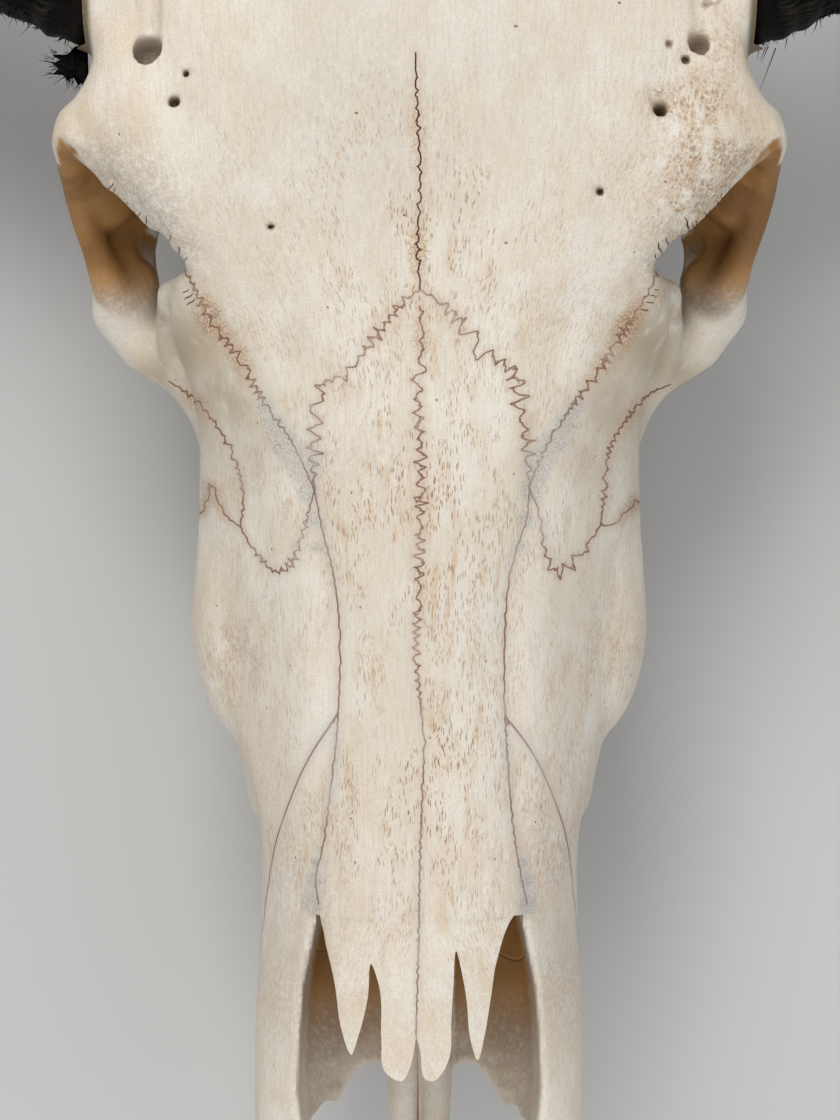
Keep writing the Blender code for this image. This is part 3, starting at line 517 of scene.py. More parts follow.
def nasal_plates(clay, roof):
    """The nasal bones' plate, which roofs the passage and runs on over it"""
    # The plate runs a little past the prongs, which its cutter shapes
    edge = [(-3, 84)] + list(NASAL_EDGE[:17]) + [(25.5, -164), (12, -172), (-3, -172)]
    plan = outline_distance(edge, clay.axes[0][:, None], clay.axes[1][None, :])
    top = curve((-200, -168, -112, -60, 100), (146, 149, 153.2, 156, 166), clay.axes[1])
    arched = top[None] - (clay.axes[0][:, None] / 34) ** 2 * 6.5
    joined = np.clip((clay.axes[1][None] + 122) / 30, 0, 1)
    lid = arched * (1 - joined) + roof * joined
    middle = lid[:, :, None] - NASAL_THICK / 2
    plate = soft_max(np.abs(clay.grid()[2] - middle) - NASAL_THICK / 2, plan[:, :, None] - 0.4, 4)
    clay.field = soft_min(clay.field, plate.astype(np.float32), 3)


def tooth_sockets(clay):
    """The swollen edge of the jaw that holds the cheek teeth"""
    clay.add(rod([(x, y, palate(y) + 7, 12.5 if y > -50 else 9.5) for y, x in ROW_X]), 9)
    clay.add(rod(((53, 62, 40, 12), (46, 74, 58, 13), (40, 84, 76, 14))), 8)

clay = Clay((0, -262, -24), (136, 292, 182), CELL)
roof = roof_height(clay)
face(clay, roof)
shelf(clay, roof)
cranium(clay)
neck_joint(clay)
horn_stub(clay)
cheek(clay)
orbit(clay)
muzzle_hollows(clay, roof)
nasal_plates(clay, roof)
tooth_sockets(clay)
clay.mirror()

# Hollows of the two sides, which differ a little: over each orbit a hole that slopes
# in from its gutter to a sharp lower rim, pits, the tear hole and the cheek's hole
GUTTERS = (((-85.4, 168, 160.2, 4.2), (-86, 184, 160.8, 4.6), (-84, 204, 162.0, 5.0)),
           ((88.8, 168, 160.0, 3.2), (88.5, 186, 160.8, 4.2), (86, 206, 162.0, 5.0)),
           ((72.6, 147.4, 163.6, 1.2), (74.8, 143.4, 163.0, 1.7)))
HOLES = (
    ((-86, 172, 171, 3.6), (-85.6, 165, 163.5, 4.6), (-85.4, 158.6, 155, 4.2)),
    ((-88, 181, 171, 3.6), (-87.5, 176, 161, 3.4)),
    ((88.6, 171, 169, 2.8), (88, 165.4, 161, 3.2), (87.8, 160.6, 154, 2.8)),
    ((90, 176, 167, 1.6), (90, 175, 158, 1.3)), ((91.5, 182, 169, 2.6), (91, 179, 158, 2.2)),
    ((-77.4, 146, 169, 2.0), (-76.8, 143, 158, 1.5)),
    ((-73.3, 154.5, 169, 1.0), (-73, 152, 160, 0.9)),
    ((-76, 158, 168.5, 1.3), (-75, 156, 164, 0.9)),
    ((76, 143, 168, 2.8), (75.2, 140.2, 155, 1.8)),
    ((78.3, 162, 169, 0.9), (78.3, 162, 160, 0.8)),
    ((83.6, 157.5, 168, 1.2), (83.6, 157.2, 157, 1.0)),
    ((55.6, 116.2, 171, 1.5), (56.6, 115.2, 162, 0.9)),
    ((-46.5, 104.4, 171, 0.9), (-46.5, 104.2, 163, 0.8)),
    ((-83.2, 79.2, 118, 2.0), (-76, 74, 110, 2.2)),
    ((82.5, 79.5, 118, 1.9), (76, 74, 110, 2.2)), ((-64, -82, 76, 5), (-50, -68, 80, 6)),
    ((64, -80, 75, 5), (50, -66, 79, 6)),
)
for path in GUTTERS + HOLES:
    clay.carve(rod(path), 1.0)

# Handling and weather have worn the surface, most of all along the brows
clay.roughen(14, 0.5, 1)
clay.roughen(5, 0.22, 2)
for side in (-1, 1):
    clay.roughen(3.2, 3.5, 8 + side, rod([(x * side, y, z, 1.5) for x, y, z in (
        (11, -164, 84), (20, -168, 84), (26, -173, 84), (31, -183, 84), (34, -195, 82))]), 5)
for side, strength in ((-1, 1.0), (1, 0.55)):
    brow = rod([(x * side, y, z, r) for x, y, z, r in
                ((110, 134, 152, 2), (93, 112, 152, 3), (78, 98, 153, 3), (70, 90, 154, 3))])
    clay.roughen(6.5, 1.5 * strength, 3 + side, brow, 11)
    clay.roughen(3.2, 1.5 * strength, 6 + side, brow, 9)

# The surface is netted over a grid of cells: the corners and edges of one cell
CORNERS = [(i, j, k) for i in (0, 1) for j in (0, 1) for k in (0, 1)]
EDGES = [(a, b) for a in range(8) for b in range(a + 1, 8)
         if sum(abs(p - q) for p, q in zip(CORNERS[a], CORNERS[b])) == 1]


def split_cells():
    """For each pattern of inside corners, whether either side falls apart"""
    apart = np.zeros(256, bool)
    for pattern in range(256):
        for wanted in (0, 1):
            group = [c for c in range(8) if (pattern >> c & 1) == wanted]
            seen = group[:1]
            for c in seen:
                for a, b in EDGES:
                    other = b if a == c else a if b == c else None
                    if other in group and other not in seen:
                        seen.append(other)
            apart[pattern] |= len(seen) < len(group)
    return apart


def corner_views(grid):
    nx, ny, nz = grid.shape
    return [grid[i:nx - 1 + i, j:ny - 1 + j, k:nz - 1 + k] for i, j, k in CORNERS]


def net(clay):
    """A closed mesh over the surface where the distances are 0"""
    field = np.where(clay.field == 0, np.float32(1e-4), clay.field)
    apart = split_cells()
    for _ in range(30):
        pattern = np.zeros([n - 1 for n in field.shape], np.uint8)
        for n, view in enumerate(corner_views(field < 0)):
            pattern |= view.astype(np.uint8) << n
        loose = np.argwhere(apart[pattern])
        if not len(loose):
            break
        for corner in CORNERS:
            i, j, k = (loose + corner).T
            field[i, j, k] = np.minimum(field[i, j, k], -0.05)
    inside = field < 0
    mixed = (pattern > 0) & (pattern < 255)
    cells = np.argwhere(mixed)
    values = np.stack([view[mixed] for view in corner_views(field)], 1)
    total = np.zeros((len(cells), 3))
    count = np.zeros(len(cells))
    for a, b in EDGES:
        crossed = (values[:, a] < 0) != (values[:, b] < 0)
        t = values[:, a] / np.where(crossed, values[:, a] - values[:, b], 1)
        start, end = np.array(CORNERS[a]), np.array(CORNERS[b])
        total += np.where(crossed[:, None], start + t[:, None] * (end - start), 0)
        count += crossed
    origin = [axis[0] for axis in clay.axes]
    points = (cells + total / count[:, None]) * clay.cell + origin
    number = np.full(mixed.shape, -1, np.int32)
    number[mixed] = np.arange(len(cells))
    quads = []
    for axis in range(3):
        u, v = (axis + 1) % 3, (axis + 2) % 3
        low = [slice(None)] * 3
        high = [slice(None)] * 3
        low[axis], high[axis] = slice(0, -1), slice(1, None)
        edge = np.argwhere(inside[tuple(low)] != inside[tuple(high)])
        ring = []
        for du, dv in ((-1, -1), (0, -1), (0, 0), (-1, 0)):
            place = edge.copy()
            place[:, u] += du
            place[:, v] += dv
            ring.append(number[tuple(place.T)])
        ring = np.stack(ring, 1)
        outward = inside[tuple(edge.T)]
        quads.append(np.where(outward[:, None], ring, ring[:, ::-1]))
    return points, np.concatenate(quads)


def mesh_points(mesh):
    """The mesh's points in the skull's own millimetres"""
    flat = np.empty(3 * len(mesh.vertices), np.float32)
    mesh.vertices.foreach_get("co", flat)
    return (flat.reshape(-1, 3) - np.array(FACE_POINT, np.float32)) / MM


def apply_modifiers(obj):
    depsgraph = bpy.context.evaluated_depsgraph_get()
    mesh = bpy.data.meshes.new_from_object(obj.evaluated_get(depsgraph))
    obj.modifiers.clear()
    obj.data = mesh


def boolean(obj, other, operation):
    modifier = obj.modifiers.new(operation, 'BOOLEAN')
    modifier.object = other
    modifier.operation = operation
    modifier.solver = 'MANIFOLD'
    apply_modifiers(obj)


def remove(obj):
    bpy.data.objects.remove(obj, do_unlink=True)


def reshape(obj, change):
    """Let a function change an object's mesh"""
    bm = bmesh.new()
    bm.from_mesh(obj.data)
    change(bm)
    bm.to_mesh(obj.data)
    bm.free()


def keep_largest(obj):
    """Drop all but the largest connected surface"""
    mesh = obj.data
    ends = np.empty(2 * len(mesh.edges), np.int32)
    mesh.edges.foreach_get("vertices", ends)
    ends = ends.reshape(-1, 2)
    label = np.arange(len(mesh.vertices))
    while True:
        low = label[ends].min(1)
        lower = label.copy()
        np.minimum.at(lower, ends[:, 0], low)
        np.minimum.at(lower, ends[:, 1], low)
        lower = lower[lower]
        if (lower == label).all():
            break
        label = lower
    dropped = label != np.bincount(label).argmax()

    def drop(bm):
        bm.verts.ensure_lookup_table()
        bmesh.ops.delete(bm, geom=[bm.verts[i] for i in np.flatnonzero(dropped)], context='VERTS')

    if dropped.any():
        reshape(obj, drop)


def prism(points, low, high):
    """A closed upright prism over an outline, between two levels"""
    points = np.asarray(points, float)
    if np.cross(points, np.roll(points, -1, axis=0)).sum() < 0:
        points = points[::-1]
    count = len(points)
    corners = [(x, y, level) for level in (low, high) for x, y in points]
    faces = [tuple(range(count))[::-1], tuple(range(count, 2 * count))]
    faces += [(i, (i + 1) % count, count + (i + 1) % count, count + i) for i in range(count)]
    cutter = new_mesh("cutter", corners, faces)
    reshape(cutter, lambda bm: bmesh.ops.triangulate(bm, faces=bm.faces))
    return cutter


def cut_with(obj, cutter, operation):
    boolean(obj, cutter, operation)
    remove(cutter)


skull = new_mesh("skull", *net(clay))
keep_largest(skull)
cut_with(skull, prism([(-200, -300), (200, -300), (200, 330), (-200, 330)], 0, 260), 'INTERSECT')
for side in (1, -1):
    edge = HORN_BASE_X - HORN_GAP
    beyond = [(edge * side, 165), (200 * side, 165), (200 * side, 330), (edge * side, 330)]
    cut_with(skull, prism(beyond, 60, 200), 'DIFFERENCE')

# The sutures
# The plates of a skull grow towards each other in interlocking folds, which stay as
# fine red-brown lines. Each line is drawn as it runs, seen from above, then folded
INTERNASAL = (
    (0.2, 84.3), (0.8, 68.7), (-0.5, 50.1), (0.5, 31.4), (0.2, 12.6), (-0.2, -12.6), (-1.1, -28.3),
    (0.2, -44.1), (1.4, -56.7), (0.8, -75.7), (0.2, -94.7), (-0.2, -117.1), (-1.1, -150.9),
)
FOREHEAD = (
    (-1.2, 158), (-1.1, 152), (-0.5, 137), (0.2, 118.4), (-0.5, 99.8), (0.2, 84.3),
)
FRONTONASAL = {
    -1: ((0.2, 84.3), (-4.5, 81.2), (-10.8, 73.4), (-17, 65.7), (-23.3, 57.9), (-30.6, 54.9),
         (-31.9, 47.1), (-33.5, 36.2), (-33.2, 22)),
    1: ((0.2, 84.3), (6.4, 80.5), (13.3, 73.4), (18.9, 65.7), (24.3, 62.6), (29.9, 58),
        (31.5, 47.1), (33.8, 37.7), (34.8, 23)),
}
NASOMAXILLARY = {
    -1: ((-33.2, 22), (-30.7, 9.4), (-27.6, -3.1), (-25.7, -15.8), (-25.1, -28.4), (-25.7, -47.3),
         (-26.4, -56.8), (-28.3, -72.7), (-30.9, -91.9), (-33.2, -101.6), (-32.2, -109.6)),
    1: ((34.8, 23), (33.9, 12.6), (30.7, 3.2), (27.9, -9.5), (27, -25.2), (27, -44.2), (28, -63.2),
        (29.6, -82.3), (31.9, -98.3), (34.5, -109.8)),
}
PRONGS = {
    -1: ((-32.2, -109.6), (-31, -117.3), (-27, -134.7), (-24.9, -149.2), (-21.7, -157.4),
         (-19.8, -152.5), (-16.5, -139.4), (-15.4, -128), (-12.6, -136.1), (-12.1, -152.4),
         (-11.1, -162.3), (-5.7, -165.5), (-2.4, -159), (-1.1, -150.9)),
    1: ((34.5, -109.8), (30.3, -112.6), (24.7, -126.6), (22.6, -139.5), (20.4, -152.5),
        (18.5, -159), (16.2, -152.4), (14.9, -139.4), (13.5, -131.2), (11.6, -123.8),
        (10.7, -136.1), (10.1, -145.9), (9.2, -158.9), (4.4, -165.5), (1.8, -164.8),
        (0.2, -155.7), (-1.1, -150.9)),
}
FRONTOLACRIMAL = {
    -1: ((-78, 97), (-72.5, 88.5), (-66.4, 76), (-56.7, 63.2), (-49.8, 50.5), (-40.8, 37.9),
         (-33.2, 22)),
    1: ((78, 97), (73, 85.5), (65.1, 72.9), (57.1, 60.1), (47.5, 47.4), (39.6, 34.7),
        (34.8, 23)),
}
LACRIMAL_TIP = {
    -1: ((-57.8, 10.6), (-54.4, 4.8), (-50.4, 0), (-46, -3.8), (-41.1, -1.6), (-37.8, 6.3),
         (-33.2, 22)),
    1: ((58.5, 11.3), (51.4, 1.6), (43.7, -4.1), (39.8, 3.2), (38.1, 14.2), (34.8, 23)),
}
LACRIMAL_CHEEK = {
    -1: ((-83, 59), (-79.4, 56.9), (-70.8, 50), (-62.4, 38.5), (-58.2, 28.9), (-56.7, 19.3),
         (-57.8, 10.6)),
    1: ((83, 58), (76.3, 55), (67.7, 46.6), (61.1, 35.3), (59.7, 22.5), (58.5, 11.3)),
}
CHEEK_NOTCH = {
    -1: ((-84, 20), (-72, 16), (-70.1, 18), (-68.1, 24.4), (-63, 14.6), (-57.8, 10.6)),
    1: ((84, 20), (74, 18), (72.2, 19.6), (66, 14), (62.4, 11.3), (58.5, 11.3)),
}
MUZZLE_SEAM = {-1: ((-27, -50, 152), (-50, -111, 118), (-48, -150, 78)),
               1: ((28, -50, 152), (51, -108, 118), (48, -150, 78))}


def run_along(points, spacing):
    """A measured line as a smooth run of evenly spaced points, and the way across it"""
    points = np.asarray(points, float)
    reach = np.concatenate([[0], np.cumsum(np.linalg.norm(np.diff(points, axis=0), axis=1))])
    at = np.linspace(0, reach[-1], max(int(reach[-1] / spacing), 2))
    line = curve(reach, points, at)
    ahead = np.gradient(line, axis=0)
    ahead /= np.linalg.norm(ahead, axis=1)[:, None]
    return at, line, ahead, np.stack([-ahead[:, 1], ahead[:, 0]], 1)


def crosses(path):
    """Whether a line runs over itself"""
    a, b = path[:-1, None], path[1:, None]
    c, d = path[None, :-1], path[None, 1:]

    def turns(p, q, r):
        (px, py), (qx, qy), (rx, ry) = (np.moveaxis(spot, -1, 0) for spot in (p, q, r))
        return (qx - px) * (ry - py) > (qy - py) * (rx - px)

    hit = (turns(a, b, c) != turns(a, b, d)) & (turns(c, d, a) != turns(c, d, b))
    number = np.arange(len(path) - 1)
    return bool((hit & (np.abs(number[:, None] - number) > 1)).any())


def folded(points, swing, pitch, seed, crook=0.5, spacing=0.35):
    """A suture: the line swings from side to side by swing, about once each pitch,
    and each fold leans over by crook, or less where it would touch the next. Swing is
    one number, or one for each of several evenly spaced places along the line"""
    at, line, ahead, across = run_along(points, spacing / 2)
    rng = np.random.RandomState(seed)
    knots = np.linspace(0, at[-1], max(int(at[-1] / (1.3 * pitch)), 4))
    rate = curve(knots, rng.uniform(0.45, 1.7, len(knots)), at)
    size = curve(knots, rng.uniform(0.3, 1.3, len(knots)), at)
    lean = curve(knots, rng.uniform(-1.4, 1.4, len(knots)), at)
    swing = np.interp(at / at[-1], np.linspace(0, 1, np.size(swing)), np.atleast_1d(swing))
    phase = np.cumsum(rate) * (at[1] - at[0]) * 2 * math.pi / pitch
    ends = np.clip(np.minimum(at, at[-1] - at) / (2.5 * pitch), 0, 1)
    wave = np.sin(phase) + 0.40 * np.sin(1.9 * phase + 3 * lean) + 0.20 * np.sin(3.7 * phase + 1.7)
    while True:
        slip = crook * pitch / (2 * math.pi) * np.sin(2 * phase + lean)
        path = (line + across * (swing * size * ends * wave)[:, None]
                + ahead * (slip * ends)[:, None])
        step = np.concatenate([[0], np.cumsum(np.linalg.norm(np.diff(path, axis=0), axis=1))])
        even = np.linspace(0, step[-1], max(int(step[-1] / spacing), 2))
        path = np.stack([np.interp(even, step, path[:, 0]), np.interp(even, step, path[:, 1])], 1)
        if not crosses(path) or crook < 0.01:
            return path
        crook *= 0.7


def joined(*lines):
    """Lines set end to end round an outline, without doubled points"""
    path = np.concatenate(lines)
    return path[np.linalg.norm(path - np.roll(path, 1, axis=0), axis=1) > 0.05]


# Each suture of a side: its line, how far it swings, its pitch, a seed and its crook
FOLDS = {
    "frontonasal": (FRONTONASAL, (1.3, 2.0, 1.9, 2.0, 1.6), 4.6, 5, 1.1),
    "nasomaxillary": (NASOMAXILLARY, 0.22, 5, 8, 0.5),
    "frontolacrimal": (FRONTOLACRIMAL, (1.0, 1.5, 1.4, 0.6, 0.25), 3.4, 11, 1.1),
    "lacrimal tip": (LACRIMAL_TIP, (1.1, 1.4, 1.1, 0.4), 3.8, 14, 0.8),
    "lacrimal cheek": (LACRIMAL_CHEEK, 0.8, 3.2, 17, 0.8),
    "cheek notch": (CHEEK_NOTCH, 0.8, 3.6, 20, 0.8),
}
sutures = {
    "internasal": folded(INTERNASAL, (1.3, 1.8, 1.9, 1.8, 1.1, 0.35, 0.25, 0.25, 0.25, 0.2),
                         3.9, 1, 0.8),
    "forehead": folded(FOREHEAD, (0.2, 0.5, 0.8, 0.9, 1.1), 4.0, 2),
}
for side, tag in ((-1, "left"), (1, "right")):
    for name, (lines, swing, pitch, seed, crook) in FOLDS.items():
        sutures[name + " " + tag] = folded(lines[side], swing, pitch, seed + side, crook)

# The bone's finish
# Cleaned and sun-bleached bone is ivory with warm and greyish clouds. Short brown
# fibre marks fan out along its grain, pores open near the rims, stain and chalk fill
# the sutures, and the hollows keep the brown of the dried flesh, with painted shade
# that darkens them deeper in, under the brows and down the holes
IVORY = (0.74, 0.665, 0.545, 1)
PALE_IVORY = (0.80, 0.755, 0.665, 1)
HONEY = (0.72, 0.585, 0.385, 1)
AMBER = (0.68, 0.48, 0.30, 1)
DULL = (0.53, 0.49, 0.42, 1)
MAUVE = (0.60, 0.48, 0.385, 1)
TAN = (0.43, 0.35, 0.235, 1)
ASH = (0.50, 0.455, 0.385, 1)
CHALK = (0.69, 0.66, 0.60, 1)
GREY = (0.42, 0.375, 0.32, 1)
OCHRE = (0.56, 0.35, 0.17, 1)
FIBRE_BROWN = (0.27, 0.135, 0.065, 1)
SUTURE_BROWN = (0.21, 0.085, 0.04, 1)
PORE_BROWN = (0.20, 0.11, 0.055, 1)
CAVITY_BROWN = (0.46, 0.235, 0.065, 1)
CAVITY_PAINTED_SHADE = (0.17, 0.072, 0.018, 1)
TAUPE = (0.36, 0.275, 0.205, 1)
HORN_BASE_OLIVE = (0.17, 0.13, 0.07, 1)
BORE_PAINTED_SHADE = (0.07, 0.045, 0.028, 1)

# Where the finishes lie: x, y, how far they reach and how strong they are
ZONES = {
    "warm": (
        (-104, 138, 20, 0.9), (104, 138, 18, 0.6), (-90, 172, 22, 0.5), (92, 168, 22, 0.5),
        (8, -108, 20, 1.0), (-12, -118, 14, 0.7), (-20, -140, 16, 0.6), (20, -140, 14, 0.7),
        (0, -158, 14, 0.8), (-5, -60, 34, 0.4), (0, 20, 26, 0.35), (-72, 102, 12, 0.4),
    ),
    "tanned": (
        (-74, 68, 14, 1.0), (74, 68, 14, 1.0), (-64, 52, 13, 0.9), (63, 50, 13, 0.7),
        (-86, 62, 9, 0.8), (86, 62, 9, 0.8), (-52, 34, 9, 0.4), (52, 32, 9, 0.4),
    ),
    "dulled": (
        (-20, 145, 50, 0.75), (25, 150, 45, 0.55), (-68, 40, 16, 0.6), (68, 40, 16, 0.6),
        (-40, 60, 20, 0.25), (0, 215, 40, 0.6), (5, -20, 55, 0.3),
    ),
    "mauved": (
        (-40, -95, 20, 0.8), (41, -95, 20, 0.9), (-46, -70, 14, 0.5), (47, -70, 14, 0.6),
        (-18, 30, 16, 0.5), (-48, -140, 20, 0.8), (48, -140, 20, 0.9), (-62, 22, 12, 0.5),
        (62, 22, 12, 0.4), (0, 120, 20, 0.3),
    ),
    "porous": (
        (93, 122, 17, 1.0), (86, 108, 13, 1.0), (88, 140, 14, 0.8), (95, 160, 12, 0.5),
        (76, 88, 8, 0.7), (-96, 122, 14, 0.25), (-84, 108, 12, 0.25), (-60, -28, 13, 0.45),
        (62, -28, 13, 0.35),
    ),
    "weathered": (
        (-98, 124, 11, 0.9), (-90, 116, 11, 1.0), (-82, 106, 10, 1.0), (-75, 97, 8, 1.0),
        (100, 126, 7, 0.5), (90, 114, 7, 0.5), (80, 102, 8, 0.7), (73, 94, 7, 0.8),
        (-79, 88, 5, 0.6), (79, 88, 5, 0.6),
    ),
    "fibred": (
        (0, 20, 60, 1.0), (0, -70, 55, 1.0), (0, 96, 45, 0.8), (45, 70, 30, 0.45),
        (-45, 70, 30, 0.45), (-58, -40, 26, 0.6), (58, -40, 26, 0.5), (60, 110, 30, 0.3),
        (-50, 120, 30, 0.3), (-44, -90, 24, 0.5), (44, -90, 24, 0.6), (86, 130, 26, 0.7),
        (-78, 20, 16, 0.5), (78, 20, 16, 0.5),
    ),
    "stained": (
        (-66, 76, 12, 1.0), (66, 74, 12, 1.0), (-58, 64, 8, 0.8), (58, 62, 8, 0.7),
        (0, 40, 16, 0.3), (0, 10, 18, 0.35), (0, -20, 16, 0.3), (0, 96, 12, 0.8),
        (0, 130, 20, 0.5), (-74, 50, 8, 0.7), (68, 46, 9, 0.7), (-70, 20, 9, 0.8),
        (70, 18, 9, 0.8), (0, 70, 10, 0.6),
    ),
    "chalked": (
        (-46, 44, 9, 1.0), (-38, 30, 8, 1.0), (45, 42, 8, 0.8), (38, 30, 7, 0.8),
        (-33, -100, 7, 1.0), (34, -103, 7, 1.0), (-26, -60, 22, 0.7), (28, -60, 22, 0.7),
        (0, -110, 22, 0.6), (-30, 8, 14, 0.6), (32, 8, 14, 0.5), (-76, 84, 5, 0.8),
        (76, 84, 5, 0.6),
    ),
}
# Chalk-grey crust, beside the lower sutures of the lacrimals and at the prongs' roots
CRUSTED = tuple((x * side, y, reach, 1.0) for side in (-1, 1) for x, y, reach in (
    (49, 48.5, 3.4), (46, 43, 4.4), (43, 37.2, 5.0), (40, 32.5, 5.2), (37.6, 28, 5.0),
    (35.4, 21.5, 4.2), (33.6, 13, 3.2), (31.8, 4, 2.6), (33, -96, 2.2), (33.5, -102, 3.2),
    (34.4, -110, 4.0)))
# The brow's rim, from its outer corner to the nose
BROW_RIM = ((115.2, 136.2), (109.4, 131.1), (104.6, 124.7), (99.5, 119.4), (96.7, 115.8),
            (91.8, 110.6), (86.9, 105), (81.9, 101.8), (79.1, 99.4), (76.2, 96.2), (74.8, 93),
            (72.7, 91.9))


class Finish:
    """A material laid up coat by coat, with its patterns in millimetres"""

    def __init__(self, name, colour, roughness):
        self.material = bpy.data.materials.new(name)
        self.material.use_nodes = True
        self.tree = self.material.node_tree
        self.shader = self.tree.nodes["Principled BSDF"]
        self.shader.inputs["Roughness"].default_value = roughness
        self.colour = colour

    def node(self, kind, inputs=(), **settings):
        """A node with its settings, and its sockets set or joined to other nodes"""
        made = self.tree.nodes.new("ShaderNode" + kind)
        for name, value in settings.items():
            setattr(made, name, value)
        for socket, value in dict(inputs).items():
            if hasattr(value, "is_output"):
                self.tree.links.new(value, made.inputs[socket])
            else:
                made.inputs[socket].default_value = value
        return made.outputs

    def mark(self, name):
        return self.node("Attribute", attribute_name=name)["Fac"]

    def places(self, across, along, up, sway=0.0):
        """Places in pattern units, so many to the millimetre; along follows the grain,
        which wanders by up to sway"""
        grain = self.node("Attribute", attribute_name="grain")["Vector"]
        if sway:
            drift = self.node("TexNoise", {"Vector": grain, "Scale": 0.06, "Detail": 2.0})["Color"]
            drift = self.node("VectorMath", {0: drift, 1: (-0.5, -0.5, -0.5)}, operation='ADD')[0]
            inputs = {0: drift, 1: (sway, 0.3 * sway, 0), 2: grain}
            grain = self.node("VectorMath", inputs, operation='MULTIPLY_ADD')[0]
        return self.node("Mapping", {"Vector": grain, "Scale": (across, along, up)})[0]

    def noise(self, across, along, up, detail=3.0, roughness=0.55):
        inputs = {"Scale": 1.0, "Detail": detail, "Roughness": roughness}
        inputs["Vector"] = self.places(across, along, up)
        return self.node("TexNoise", inputs)["Fac"]

    def dots(self, across, along, sway=0.0):
        """Distance to the nearest of a scatter of points on the surface"""
        inputs = {"Vector": self.places(across, along, 0, sway), "Scale": 1.0}
        return self.node("TexVoronoi", inputs, voronoi_dimensions='2D')["Distance"]

    def step(self, value, low, high, first=0.0, last=1.0):
        """A value taken smoothly from first to last as it goes from low to high"""
        inputs = {"Value": value, 1: low, 2: high, 3: first, 4: last}
        return self.node("MapRange", inputs, interpolation_type='SMOOTHSTEP')[0]

    def maths(self, kind, *values):
        total = values[0]
        for value in values[1:]:
            total = self.node("Math", {0: total, 1: value}, operation=kind)[0]
        return total

    def times(self, *values):
        return self.maths('MULTIPLY', *values)

    def plus(self, *values):
        return self.maths('ADD', *values)

    def mixed(self, below, above, amount):
        mix = self.tree.nodes.new("ShaderNodeMix")
        mix.data_type = 'RGBA'
        for number, value in ((0, amount), (6, below), (7, above)):
            if hasattr(value, "is_output"):
                self.tree.links.new(value, mix.inputs[number])
            else:
                mix.inputs[number].default_value = value
        return mix.outputs[2]

    def coat(self, colour, amount):
        """Lay a colour over what is there, as far as amount says"""
        self.colour = self.mixed(self.colour, colour, amount)

    def done(self, height, depth, strength=0.6):
        self.tree.links.new(self.colour, self.shader.inputs["Base Color"])
        inputs = {"Height": height, "Distance": depth * MM, "Strength": strength}
        self.tree.links.new(self.node("Bump", inputs)[0], self.shader.inputs["Normal"])
        return self.material


bone = Finish("dry bone", IVORY, 0.58)
clouds = bone.noise(0.035, 0.03, 0.035)
patches = bone.noise(0.10, 0.06, 0.10, 4)
grain = bone.noise(1.1, 0.12, 1.1, 2, 0.6)
mottle = bone.noise(0.55, 0.40, 0.55, 3, 0.7)
fine = bone.noise(2.4, 1.6, 2.4, 1, 0.65)
bone.coat(PALE_IVORY, bone.step(clouds, 0.40, 0.60))
bone.coat(HONEY, bone.times(bone.step(patches, 0.46, 0.66), 0.35))
bone.coat(AMBER, bone.times(bone.mark("warm"), bone.step(patches, 0.34, 0.62), 0.55))
bone.coat(MAUVE, bone.times(bone.mark("mauved"), bone.step(mottle, 0.38, 0.60), 0.95))
bone.coat(MAUVE, bone.times(bone.step(grain, 0.48, 0.66), 0.38))
bone.coat(PALE_IVORY, bone.times(bone.step(grain, 0.46, 0.32), 0.30))
bone.coat(DULL, bone.times(bone.step(fine, 0.52, 0.36), 0.42))
bone.coat(PALE_IVORY, bone.times(bone.step(fine, 0.52, 0.68), 0.45))
bone.coat(TAN, bone.times(bone.mark("tanned"), bone.step(patches, 0.20, 0.50), 0.9))
bone.coat(DULL, bone.times(bone.mark("dulled"), bone.step(mottle, 0.25, 0.65, 0.35, 0.8)))

# Short brown fibre marks in loose clusters, lying along the grain, and a few pits
fibred = bone.times(bone.step(bone.noise(0.085, 0.045, 0.03, 3), 0.43, 0.53), bone.mark("fibred"))
long_marks = bone.step(bone.dots(0.95, 0.12, sway=4.0), 0.19, 0.11)
short_marks = bone.step(bone.dots(1.3, 0.22, sway=5.0), 0.20, 0.12)
short_marks = bone.times(short_marks, bone.step(patches, 0.46, 0.54))
marks = bone.times(bone.maths('MAXIMUM', long_marks, short_marks), fibred)
bone.coat(OCHRE, bone.times(bone.step(bone.noise(0.30, 0.05, 0.05, 3), 0.52, 0.68), fibred, 0.5))
bone.coat(bone.mixed(OCHRE, FIBRE_BROWN, bone.step(mottle, 0.40, 0.54)), bone.times(marks, 0.9))
pits = bone.step(bone.dots(0.026, 0.023), 0.012, 0.007)
bone.coat(PORE_BROWN, bone.times(pits, 0.85))

# Open pores in rust-coloured patches, and grey weathered rims
porous = bone.times(bone.mark("porous"), bone.step(bone.noise(0.13, 0.10, 0.13, 2), 0.36, 0.56))
big_pores = bone.step(bone.dots(0.62, 0.42), 0.30, 0.16)
small_pores = bone.step(bone.dots(1.5, 1.0), 0.30, 0.16)
pores = bone.times(bone.maths('MAXIMUM', big_pores, bone.times(small_pores, 0.7)), porous)
bone.coat(OCHRE, bone.times(porous, bone.step(mottle, 0.34, 0.56), 0.75))
bone.coat(PORE_BROWN, bone.times(pores, 0.7))
weathered = bone.mark("weathered")
bone.coat(ASH, bone.times(weathered, bone.step(mottle, 0.36, 0.56), 0.8))
bone.coat(CHALK, bone.times(weathered, bone.step(fine, 0.52, 0.64), 0.6))
bone.coat(PORE_BROWN, bone.times(weathered, small_pores, bone.step(mottle, 0.48, 0.56), 0.5))

